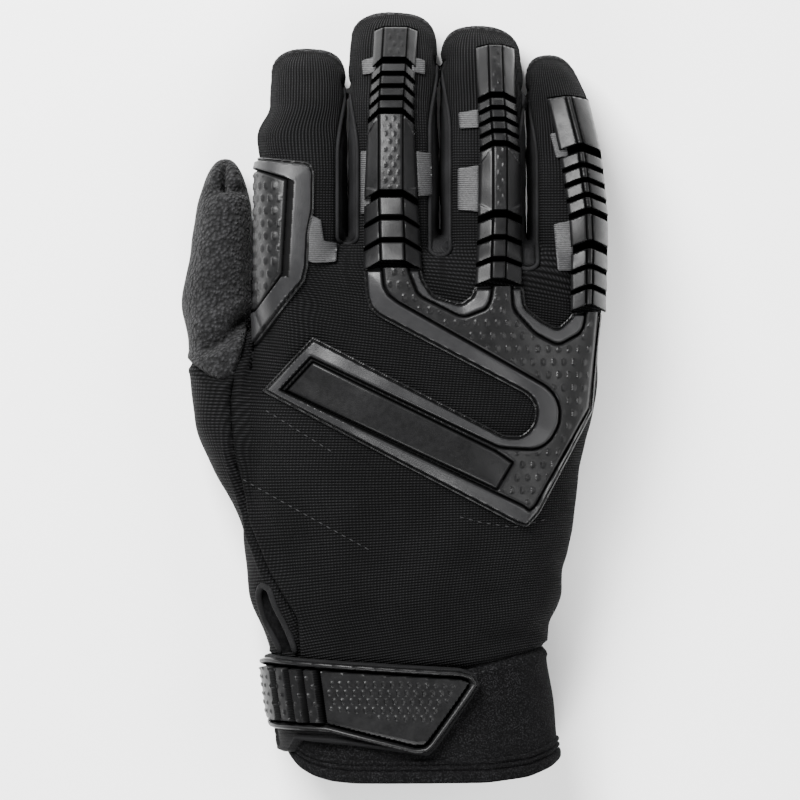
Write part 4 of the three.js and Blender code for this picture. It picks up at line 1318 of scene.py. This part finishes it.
class MakeRolledEdges(Operator):
    """Rolled edges: the cord along each finger strip, round the crotch and up again"""

    bl_idname = "glove.make_rolled_edges"
    bl_label = "Rolled strip edges"

    def execute(self, context):
        lift, past_crotch, short_of_top, bow_depth = 0.1, 1.2, 3, 2.2
        turn = np.linspace(0, np.pi, 15)
        for i, name in enumerate(("index_middle", "middle_ring", "ring_little")):
            middle = PARTINGS[i]
            low, top = CROTCH_YS[i] + past_crotch, STRIP_TOPS[i] - short_of_top
            bow = np.stack([middle - STRIP_WIDTH * np.cos(turn),
                            low - bow_depth * np.sin(turn)], -1)
            line = densified(np.vstack([[(middle - STRIP_WIDTH, top)], bow,
                                        [(middle + STRIP_WIDTH, top)]]), step=0.9)
            share = strip_width(line[:, 1], i) / STRIP_WIDTH
            line[:, 0] = middle + (line[:, 0] - middle) * share
            body = tube_along(on_glove(line, np.full(len(line), lift)), radius=0.62, sides=10)
            make_piece(f"rolled_edge_{name}", *body, "stretch_cloth")
        return {"FINISHED"}


class MakeSlit(Operator):
    """Wrist slit: its fuzzy web and the bound edge round it"""

    bl_idname = "glove.make_slit"
    bl_label = "Wrist slit"

    def execute(self, context):
        outline = grown(rounded(HAND.flat(from_photo(SLIT_PX)), reach=1.5, passes=1), 1.5)
        low, high = outline[:, 1].min(), outline[:, 1].max()
        left_end = outline[:, 0].min()
        edge_level, fall = -0.2, 2.6
        fold_inset, low_width, narrowing = 2.5, 6.5, 3.0

        def web(plan):
            """A fold that falls to the right in a smooth step, which narrows upwards."""
            along = (plan[:, 1] - low) / (high - low)
            left = np.interp(along, [0, 0.5, 1], [left_end + fold_inset] * 2 + [left_end])
            across = (plan[:, 0] - left) / (low_width - narrowing * along)
            return edge_level - fall * smooth_step(across), np.zeros(len(plan))

        points, polygons, _ = plate(outline, web, on_hand, step=0.7, root=-3.4)
        make_piece("slit_web", points, polygons, "loop_pile", ("slit_gusset",))
        line = densified(HAND.flat(from_photo(SLIT_EDGE_PX)), step=1.2)
        for _ in range(2):
            line[1:-1] = line[1:-1] * 0.5 + (line[:-2] + line[2:]) * 0.25
        body = tube_along(on_hand(line, np.full(len(line), 0.1)), radius=1.0, sides=12,
                          squash=0.8)
        make_piece("slit_edge", *body, "stretch_cloth", ("slit_binding",))
        return {"FINISHED"}


class MakeCuffHem(Operator):
    """Cuff hem: the turned edge of the cuff's mouth"""

    bl_idname = "glove.make_cuff_hem"
    bl_label = "Cuff hem"

    def execute(self, context):
        around, mouth_y, smoothing = 360, -106.0, 10
        angle = np.linspace(0, 2 * np.pi, around, endpoint=False)
        mouth = from_photo(CUFF_MOUTH_PX)
        side = HAND.point(np.full(around, mouth_y), angle, 0.0)[:, 0]
        edge = np.interp(side, mouth[:, 0], mouth[:, 1])
        for _ in range(smoothing):
            edge = edge * 0.5 + (np.roll(edge, 1) + np.roll(edge, -1)) * 0.25
        hem, wall = size_of("hem"), size_of("wall")
        # Along y from the mouth, and out from the skin: over the top and back underneath
        profile = np.array([
            (hem + 2.6, -0.5), (hem + 2.5, 0.3), (hem + 2.1, 0.6), (hem + 1.5, 0.55),
            (hem + 1.2, 0.05), (hem + 0.8, 0.0), (hem + 0.5, 0.55), (hem - 0.1, 0.6),
            (hem - 0.4, 0.05), (hem - 0.8, 0.0), (hem - 1.1, 0.5), (hem - 1.6, 0.7),
            (hem / 2, 0.75), (1.0, 0.6), (0.35, 0.25), (0.0, -0.4), (0.0, -1.2),
            (0.35, -wall - 0.15), (1.0, -wall - 0.45), (hem / 2, -wall - 0.5),
            (hem - 0.8, -wall - 0.4), (hem + 0.8, -wall - 0.1), (hem + 1.1, -wall * 0.8),
        ])
        count = len(profile)
        y = edge[:, None] + profile[None, :, 0]
        points = HAND.point(y, angle[:, None], profile[None, :, 1]).reshape(-1, 3)
        points[:, 2] = resting(points[:, 2])
        r, i = np.meshgrid(np.arange(around), np.arange(count), indexing="ij")
        after, step = (r + 1) % around * count, (i + 1) % count
        quads = np.stack([r * count + i, r * count + step, after + step, after + i], -1)
        make_piece("cuff_edge", points, [quads.reshape(-1, 4)[:, ::-1]], "speckled_neoprene",
                   ("cuff_hem",))
        return {"FINISHED"}


class MakeFastening(Operator):
    """Wrist fastening: the piped strap and the moulded tab on it"""

    bl_idname = "glove.make_fastening"
    bl_label = "Wrist strap and tab"

    def execute(self, context):
        strap_rise, tab_rise = 1.5, 3.6
        strap_down, tab_down, drawn_left = 14.0, 7.0, -50
        wrist_side = HAND.flat(np.array([[-36.5, -88.0]]))[0, 0]
        strap, tab = from_photo(STRAP_PX), from_photo(TAB_PX)
        strap_line, tab_line = HAND.flat(strap, strap_rise), HAND.flat(tab, tab_rise)
        # Corners drawn well to the left stand for how far each goes down the wrist's side
        strap_line[strap[:, 0] < drawn_left, 0] = wrist_side - strap_down
        tab_line[tab[:, 0] < drawn_left, 0] = wrist_side - tab_down
        strap_line = rounded(strap_line, reach=2.2, passes=3)
        tab_line = rounded(tab_line, reach=2.2, passes=3)

        def strap_lift(plan):
            """A flat strap with a piped edge, which falls away outside."""
            edge = line_distance(plan, strap_line, True)
            piping, fall = 1.1 * bell(edge - 0.9, 0.75), 1.0 * bell(edge, 0.35)
            return strap_rise + piping - fall, np.zeros(len(plan))

        points, polygons, _ = plate(strap_line, strap_lift, HAND.wrapped, PLAIN_STEP,
                                    root=0.15)
        make_piece("wrist_strap_base", points, polygons, "strap_webbing", ("wrist_strap",))

        row = 690
        low_edge = HAND.flat(from_photo(TAB_LOW_EDGE_PX), tab_rise)
        pips = HAND.flat(from_photo(TAB_DOTS_PX), tab_rise)
        start = HAND.flat(from_photo([(TAB_GRIPS_END_PX, row)]), tab_rise)[0, 0]
        gaps = [HAND.flat(from_photo([(x - w / 2, row), (x + w / 2, row)]), tab_rise)[:, 0]
                for x, w in TAB_GROOVES_PX]
        step = gaps[1][0] - gaps[0][1]
        gaps += [gaps[0] - step * k for k in (1, 2, 3)]

        rim_half, rim_foot, rim_height = 0.85, 3.0, 1.25
        groove_from, inner_from, base, groove_floor = 1.6, 2.35, 2.5, 2.0
        top, slope_height, grips_top, dot_height, dash_height = 3.55, 0.5, 4.45, 0.42, 0.4

        def tab_lift(plan):
            """A round rim, a groove inside it, and a flat top with dots and grip bars.

            The rim is half an oval, and each grip bar ends at a groove cut down to the floor.
            """
            edge = line_distance(plan, tab_line, True)
            rim = rim_foot + rim_height * np.sqrt(
                np.clip(1 - ((edge - rim_half) / rim_half) ** 2, 0, 1))
            inner = smooth_step((edge - inner_from) / 0.3)
            groove = smooth_step((edge - groove_from) / 0.2) * (1 - inner)
            grips = plan[:, 0] < start
            slope = slope_height * smooth_step((line_distance(plan, low_edge) - 2.3) / 1.8)
            rows = dots(plan, pitch=2.8, rows=2.5, size=0.85)
            rows = rows * (inside(plan, pips) & (edge > 3.4))
            flat_top = np.where(grips, grips_top, top + slope + dot_height * rows)
            for near, far in gaps:
                past = np.minimum(plan[:, 0] - near, far - plan[:, 0])
                groove = np.maximum(groove, smooth_step(past / 0.3 + 0.5) * inner)
            dashes = dash_height * dots(plan, pitch=3.4, rows=2.6, size=0.65) * grips
            lift = np.where(edge < groove_from + 0.05, rim,
                            base + (flat_top + dashes - base) * inner)
            # The groove share is also the hollow attribute, which the rubber's finish darkens as
            # painted shade.
            return lift - (lift - groove_floor) * groove, groove

        points, polygons, hollow = plate(tab_line, tab_lift, HAND.wrapped, size_of("tab_step"),
                                         root=1.6)
        make_piece("wrist_pull_tab", points, polygons, "moulded_rubber", ("wrist_tab",),
                   sharp=42, hollow=hollow)
        return {"FINISHED"}


def banded(plan, edge_line, crest_line, low, high):
    """A thin lip at the edge, a bevelled band rising from low to high, and a sunk panel.

    The band's rise is the share of the way from the edge to the crest line. A groove, a bell
    of the distance to that line, parts the band from the panel.
    """
    lip_width, lip_height, bead_height, sunk, groove_depth = 0.75, 0.75, 0.35, 0.5, 1.2
    to_edge = line_distance(plan, edge_line, True)
    to_crest = line_distance(plan, crest_line, True)
    on_panel = inside(plan, crest_line)
    share = to_edge / np.maximum(to_edge + to_crest, 1e-6)
    rise = low + (high - low) * share
    wall = smooth_step((to_edge - lip_width) / 0.45)
    lip = lip_height + bead_height * bell(to_edge - 0.35, 0.3)
    lift = np.where(on_panel, high - sunk, lip + (rise - lip) * wall)
    groove = bell(to_crest, 0.4)
    # Painted shade in the groove and along the lip's foot; below 0, a painted highlight on the
    # band
    lip_foot_shade = 0.7 * bell(to_edge - lip_width, 0.2) * ~on_panel
    highlight_and_polish = HIGHLIGHT_AND_POLISH * wall * ~on_panel * (1 - groove)
    lift = lift - groove_depth * groove
    return lift, np.maximum(groove, lip_foot_shade) - highlight_and_polish, on_panel, to_crest


class MakeKnuckleGuard(Operator):
    """Knuckle guard: bevelled bands round a pipped panel, with a bare recessed bar"""

    bl_idname = "glove.make_knuckle_guard"
    bl_label = "Knuckle guard"

    def execute(self, context):
        pairs = np.array(KNUCKLE_PX, float)
        both = np.hstack([from_photo(pairs[:, :2]), from_photo(pairs[:, 2:])])
        both = rounded(both, 3.4, 3, KNUCKLE_SHARP)
        edge_line, crest_line = both[:, :2], both[:, 2:]
        bar = rounded(from_photo(KNUCKLE_BAR_PX), reach=1.2, passes=2)
        bar_depth, groove_depth, pip_height = 0.6, 0.9, 0.34

        def relief(plan):
            """The bands and panel, with the bar sunk in a groove and pips clear of both."""
            lift, hollow, on_panel, to_crest = banded(plan, edge_line, crest_line,
                                                      low=2.05, high=3.2)
            on_bar = inside(plan, bar)
            to_bar = line_distance(plan, bar, True)
            groove = bell(to_bar, 0.42)
            lift -= np.where(on_bar, bar_depth, 0) + groove_depth * groove
            pips = on_panel & ~on_bar & (to_crest > 1.4) & (to_bar > 1.2)
            # The bar's groove is darkened as painted shade through the hollow attribute.
            hollow = np.where(groove > 0.02, np.maximum(hollow, groove), hollow)
            return lift + pip_height * dots(plan) * pips, hollow

        points, polygons, hollow = plate(edge_line, relief, on_back_of(HAND), SHIELD_STEP,
                                         root=-1.0)
        make_piece("knuckle_shield", points, polygons, "moulded_rubber", ("knuckle_guard",),
                   sharp=40, hollow=hollow)
        return {"FINISHED"}


def beside_index(flat, rise):
    """A point wrapped round the index finger, moved out where the hand would bury it."""
    clear_of_floor = 0.05
    points = INDEX.wrapped(flat, rise)
    heart = INDEX.section(flat[:, 1], 0.0)
    way = points - np.stack([heart[0], points[:, 1], heart[1]], -1)
    way /= np.maximum(np.linalg.norm(way, axis=1), 1e-6)[:, None]
    for _ in range(3):
        points += way * np.maximum(rise - HAND.distance(points), 0)[:, None]
    points[:, 2] = np.maximum(points[:, 2], clear_of_floor)
    return points


def under_photo(pixels, rise, reach=0.0, passes=0, sharp=()):
    """Flat coordinates whose points beside the index finger lie over the pixels.

    The outline is rounded in the photograph's plane. Then each flat point moves by a part of
    the difference between its pixel and where it lands, until the two agree. Points left of
    the finger's edge stay where the plain unrolling puts them.
    """
    rounds, part = 14, 0.7
    line = from_photo(pixels)
    if passes:
        line = rounded(line, reach, passes, sharp)
    line = densified(line, 1.5, True)
    flat = INDEX.flat(line, rise)
    seen = line[:, 0] > from_photo([(SIDE_SEEN_FROM_PX, 0)])[0, 0]
    for _ in range(rounds):
        landed = beside_index(flat, np.full(len(flat), float(rise)))[:, :2]
        flat += np.where(seen[:, None], part * (line - landed), 0)
    return flat


class MakeIndexGuard(Operator):
    """Index guard: an L-shaped bevelled frame round a pipped plate, and its sewn flange"""

    bl_idname = "glove.make_index_guard"
    bl_label = "Index side guard"

    def execute(self, context):
        edge_rise, crest_rise = 1.2, 2.4
        edge_line = under_photo(SIDE_GUARD_PX, edge_rise, reach=1.6, passes=2, sharp=(8,))
        crest_line = under_photo(SIDE_CREST_PX, crest_rise, reach=1.2, passes=1)
        wall_line = under_photo(SIDE_WALL_PX, crest_rise)
        wall_foot, wall_width, wall_shade, pip_height = 1.9, 2.1, 0.7, 0.36

        def relief(plan):
            """The bands and panel, with a sloped wall on the right darkened as painted shade, and
            pips inside.
            """
            lift, hollow, on_panel, to_crest = banded(plan, edge_line, crest_line,
                                                      low=1.7, high=3.1)
            on_wall = inside(plan, wall_line) & ~on_panel
            slope = np.clip(to_crest / wall_width, 0, 1)
            lift = np.where(on_wall, wall_foot + (lift - wall_foot) * slope, lift)
            # Painted shade darkens the sloped wall on the right.
            hollow = np.where(on_wall, np.maximum(hollow, wall_shade), hollow)
            pips = on_panel & (to_crest > 1.2)
            return lift + pip_height * dots(plan, pitch=3.0, rows=3.75, size=1.2) * pips, hollow

        points, polygons, hollow = plate(edge_line, relief, beside_index, SHIELD_STEP,
                                         root=-0.6)
        make_piece("index_shield", points, polygons, "moulded_rubber", ("index_side_guard",),
                   sharp=40, hollow=hollow)
        body = level_plate(rounded(from_photo(SIDE_FLANGE_PX), reach=1.2, passes=1), lift=1.0)
        make_piece("index_shield_flange", *body, "sewn_tabs")
        return {"FINISHED"}


def guard_relief(plan, block, slants, stretches):
    """Ribs cut across in chevrons, a middle block and a bevelled plate on each side.

    A point's level is its y in photograph pixels, carried up the chevron: out beyond the
    middle block it falls by the slant for each pixel across. In its stretch, the share of a
    pitch says whether the point is on a block or in the gap above it.
    """
    rows = np.array(stretches, float)
    raw = PHOTO_ORIGIN - plan[:, 1] / PHOTO_SCALE
    ends = np.concatenate([rows[:, 0], rows[-1:, 1]])[::-1]
    centres = np.concatenate([rows[:, 4], rows[-1:, 5]])[::-1]
    widths = np.concatenate([rows[:, 3], rows[-1:, 3]])[::-1]
    slants = np.array(slants, float)
    level = raw
    for _ in range(4):
        across = np.abs(plan[:, 0] / PHOTO_SCALE + PHOTO_ORIGIN - np.interp(level, ends, centres))
        beyond = np.maximum(across - block, 0)
        level = raw - np.interp(level, slants[:, 0], slants[:, 1]) * beyond
    side = beyond > 0
    out = np.clip(beyond / (np.interp(level, ends, widths) / 2 - block), 0, 1)
    floor, top, side_drop, side_fall, single_drop = 0.7, 4.35, 0.35, 2.0, 0.5
    widest_gap, single_gap, wall = 4.6, 2.4, 0.9
    seam_depth, rim_depth, pip_height, mitre_height = 0.9, 0.5, 0.25, 0.6
    # Painted shade: the hollow attribute starts at 1, so the floor round the ribs is darkened.
    lift, hollow = np.full(len(plan), floor), np.full(len(plan), 1.0)
    for start, end, count, _, _, _ in stretches:
        last = end == stretches[-1][1]
        pitch = (start - end) / count
        gap = min(widest_gap, pitch * 0.34) if count > 1 else single_gap
        share = (start - level) / pitch
        within = (share > 0) & (share < count)
        step = (share % 1.0) * pitch
        up = smooth_step(step / wall) * smooth_step((pitch - gap - step) / wall + 1)
        crown = top - side_drop * side - side_fall * out
        if count > 1:
            crown = crown + 0.35 - 0.9 * step / pitch
        else:
            mitre = smooth_step((0.9 * beyond - np.minimum(step, pitch - gap - step)) / 1.5)
            mitred = side * mitre * out * (block > 5 and not last)
            pips = dots(plan, pitch=2.5, rows=2.3, size=0.72) * (across < block - 3)
            crown = crown - single_drop * ~side + mitre_height * mitred + pip_height * pips
        lift = np.where(within, floor + (crown - floor) * up, lift)
        # Painted shade in the gaps between ribs; below 0, a painted highlight on single blocks'
        # side plates.
        hollow = np.where(within, 1 - up - HIGHLIGHT_AND_POLISH * up * side * (count == 1), hollow)
    seam = bell((across - block - 0.4) * PHOTO_SCALE, 0.26) * (lift > 2)
    edge = bell((1 - out) * (np.interp(level, ends, widths) / 2 - block) * PHOTO_SCALE, 0.35)
    lift = lift - seam_depth * seam - rim_depth * edge * (lift > 1.6)
    # The seam beside the middle block is darkened as painted shade too.
    return lift, np.maximum(hollow, seam)


def guard_outline(block, slants, stretches):
    """The guard's edge: up one side at its half width, over the tip, and down the other."""
    rows = np.array(stretches, float)
    lines = np.vstack([rows[:, [0, 4, 3]], rows[-1:, [1, 5, 3]]])
    slants = np.array(slants, float)
    drop = np.interp(lines[:, 0], slants[:, 0], slants[:, 1]) * (lines[:, 2] / 2 - block)
    right = np.stack([lines[:, 1] + lines[:, 2] / 2, lines[:, 0] + drop], -1)
    left = np.stack([lines[:, 1] - lines[:, 2] / 2, lines[:, 0] + drop], -1)
    tip = [(lines[-1, 1] + block, lines[-1, 0]), (lines[-1, 1] - block, lines[-1, 0])]
    foot = [(lines[0, 1] - block, lines[0, 0]), (lines[0, 1] + block, lines[0, 0])]
    return from_photo(np.vstack([right, tip, left[::-1], foot]))


class MakeFingerGuards(Operator):
    """Finger guards: ribbed rubber on three fingers, and their sewn flanges"""

    bl_idname = "glove.make_finger_guards"
    bl_label = "Finger guards"

    def execute(self, context):
        for finger, (block, slants, stretches, flanges) in FINGER_GUARDS.items():
            points, polygons, hollow = plate(
                guard_outline(block, slants, stretches),
                lambda plan: guard_relief(plan, block, slants, stretches),
                on_back_of(FINGER_FORM[finger]), RIBS_STEP, root=-1.0)
            make_piece(f"{finger}_finger_ribs", points, polygons, "moulded_rubber",
                       (f"finger_guard_{finger}",), sharp=38, hollow=hollow)
            bodies = [level_plate(rounded(from_photo(flange), reach=1.2, passes=1), lift=0.95)
                      for flange in flanges]
            make_piece(f"{finger}_finger_flanges", *merged(bodies), "sewn_tabs")
        return {"FINISHED"}


# Rows of thread, in pixels
STITCH_ROWS = (
    [(242, 478), (371, 549)],
    [(265, 409), (334, 452)],
    [(457, 515), (480, 521), (512, 526), (546, 518)],
    [(470, 672), (512, 662), (546, 652)],
)


class MakeStitching(Operator):
    """Stitching: rows of thread through the back and above the cuff"""

    bl_idname = "glove.make_stitching"
    bl_label = "Stitching"

    def execute(self, context):
        rows = [stitches(from_photo(line), length=1.5, gap=1.0, radius=0.24, lift=0.1)
                for line in STITCH_ROWS]
        make_piece("back_stitching", *merged(rows), "thread")
        return {"FINISHED"}


# Lights as (name, place, side of the square, power), all aimed at the glove's middle
LIGHTS = (
    ("key", (-0.35, 0.6, 0.7), 0.5, 44),
    ("fill", (0.65, -0.05, 0.6), 0.5, 6.5),
    ("low", (-0.1, -0.65, 0.5), 0.4, 9),
)
LIGHT_AIM = (0, 0, 0.02)
FLOOR_HALF, FLOOR_LEVEL, FLOOR_CELLS = 900, -0.4, 24  # the last counts along a side
CAMERA_DISTANCE = 2.0
CAMERA_SENSOR = 36


def area_light(name, place, size, power):
    """A square light that looks from its place at the glove."""
    data = bpy.data.lights.new(name, "AREA")
    data.shape, data.size, data.energy = "SQUARE", size, power
    light = bpy.data.objects.new(name, data)
    bpy.context.scene.collection.objects.link(light)
    light.location = place
    way = Vector(LIGHT_AIM) - Vector(place)
    light.rotation_euler = way.to_track_quat("-Z", "Y").to_euler()


class MakeStage(Operator):
    """Stage: pale floor, soft studio light and the camera over the glove"""

    bl_idname = "glove.make_stage"
    bl_label = "Stage"

    def execute(self, context):
        line = np.linspace(-FLOOR_HALF, FLOOR_HALF, FLOOR_CELLS + 1)
        x, y = np.meshgrid(line, line, indexing="ij")
        points = np.stack([x.ravel(), y.ravel(), np.full(x.size, FLOOR_LEVEL)], -1)
        i, j = np.meshgrid(np.arange(FLOOR_CELLS), np.arange(FLOOR_CELLS), indexing="ij")
        row = len(line)
        a = i * row + j
        quads = np.stack([a, a + row, a + row + 1, a + 1], -1).reshape(-1, 4)
        mesh = bpy.data.meshes.new("floor")
        mesh.from_pydata(points * MM, [], quads.tolist())
        floor = bpy.data.objects.new("floor", mesh)
        context.scene.collection.objects.link(floor)
        material = bpy.data.materials.new("pale_floor")
        material.use_nodes = True
        shader = material.node_tree.nodes["Principled BSDF"]
        shader.inputs["Base Color"].default_value = (0.93, 0.93, 0.93, 1)
        shader.inputs["Roughness"].default_value = 0.9
        mesh.materials.append(material)
        world = bpy.data.worlds.new("studio")
        context.scene.world = world
        world.use_nodes = True
        sky = world.node_tree.nodes["Background"]
        sky.inputs["Color"].default_value = (1, 1, 1, 1)
        sky.inputs["Strength"].default_value = 0.4
        for light in LIGHTS:
            area_light(*light)
        # The picture is as wide as the photograph, and its middle is where the photograph's is
        camera = bpy.data.objects.new("camera", bpy.data.cameras.new("camera"))
        context.scene.collection.objects.link(camera)
        width = PHOTO_PIXELS * PHOTO_SCALE * MM
        middle = from_photo([PHOTO_PIXELS / 2] * 2) + CENTRING[:2]
        camera.data.lens = CAMERA_SENSOR * CAMERA_DISTANCE / width
        camera.data.clip_end = 10
        camera.location = (*(middle * MM), CAMERA_DISTANCE + LIGHT_AIM[2])
        context.scene.camera = camera
        return {"FINISHED"}


OPERATORS = (
    MakePanels, MakeRolledEdges, MakeSlit, MakeCuffHem, MakeFastening, MakeKnuckleGuard,
    MakeIndexGuard, MakeFingerGuards, MakeStitching, MakeStage,
)


class GlovePanel(Panel):
    """Lists the glove's parts in the sidebar"""

    bl_idname = "VIEW3D_PT_glove"
    bl_label = "Tactical glove"
    bl_space_type = "VIEW_3D"
    bl_region_type = "UI"
    bl_category = "Glove"

    def draw(self, context):
        for operator in OPERATORS:
            self.layout.operator(operator.bl_idname)
        for group in (context.scene.glove_sizes, context.scene.glove_colours):
            for name in group.__annotations__:
                self.layout.prop(group, name)


CLASSES = (GloveSizes, GloveColours, *OPERATORS, GlovePanel)


def register():
    """Adds the classes, and the sizes and colours that the scene holds."""
    for each in CLASSES:
        bpy.utils.register_class(each)
    bpy.types.Scene.glove_sizes = PointerProperty(type=GloveSizes)
    bpy.types.Scene.glove_colours = PointerProperty(type=GloveColours)


def unregister():
    """Takes away what register adds."""
    del bpy.types.Scene.glove_colours
    del bpy.types.Scene.glove_sizes
    for each in reversed(CLASSES):
        bpy.utils.unregister_class(each)


def main():
    register()
    for operator in OPERATORS:
        group, name = operator.bl_idname.split(".")
        getattr(getattr(bpy.ops, group), name)()


if __name__ == "__main__":
    main()
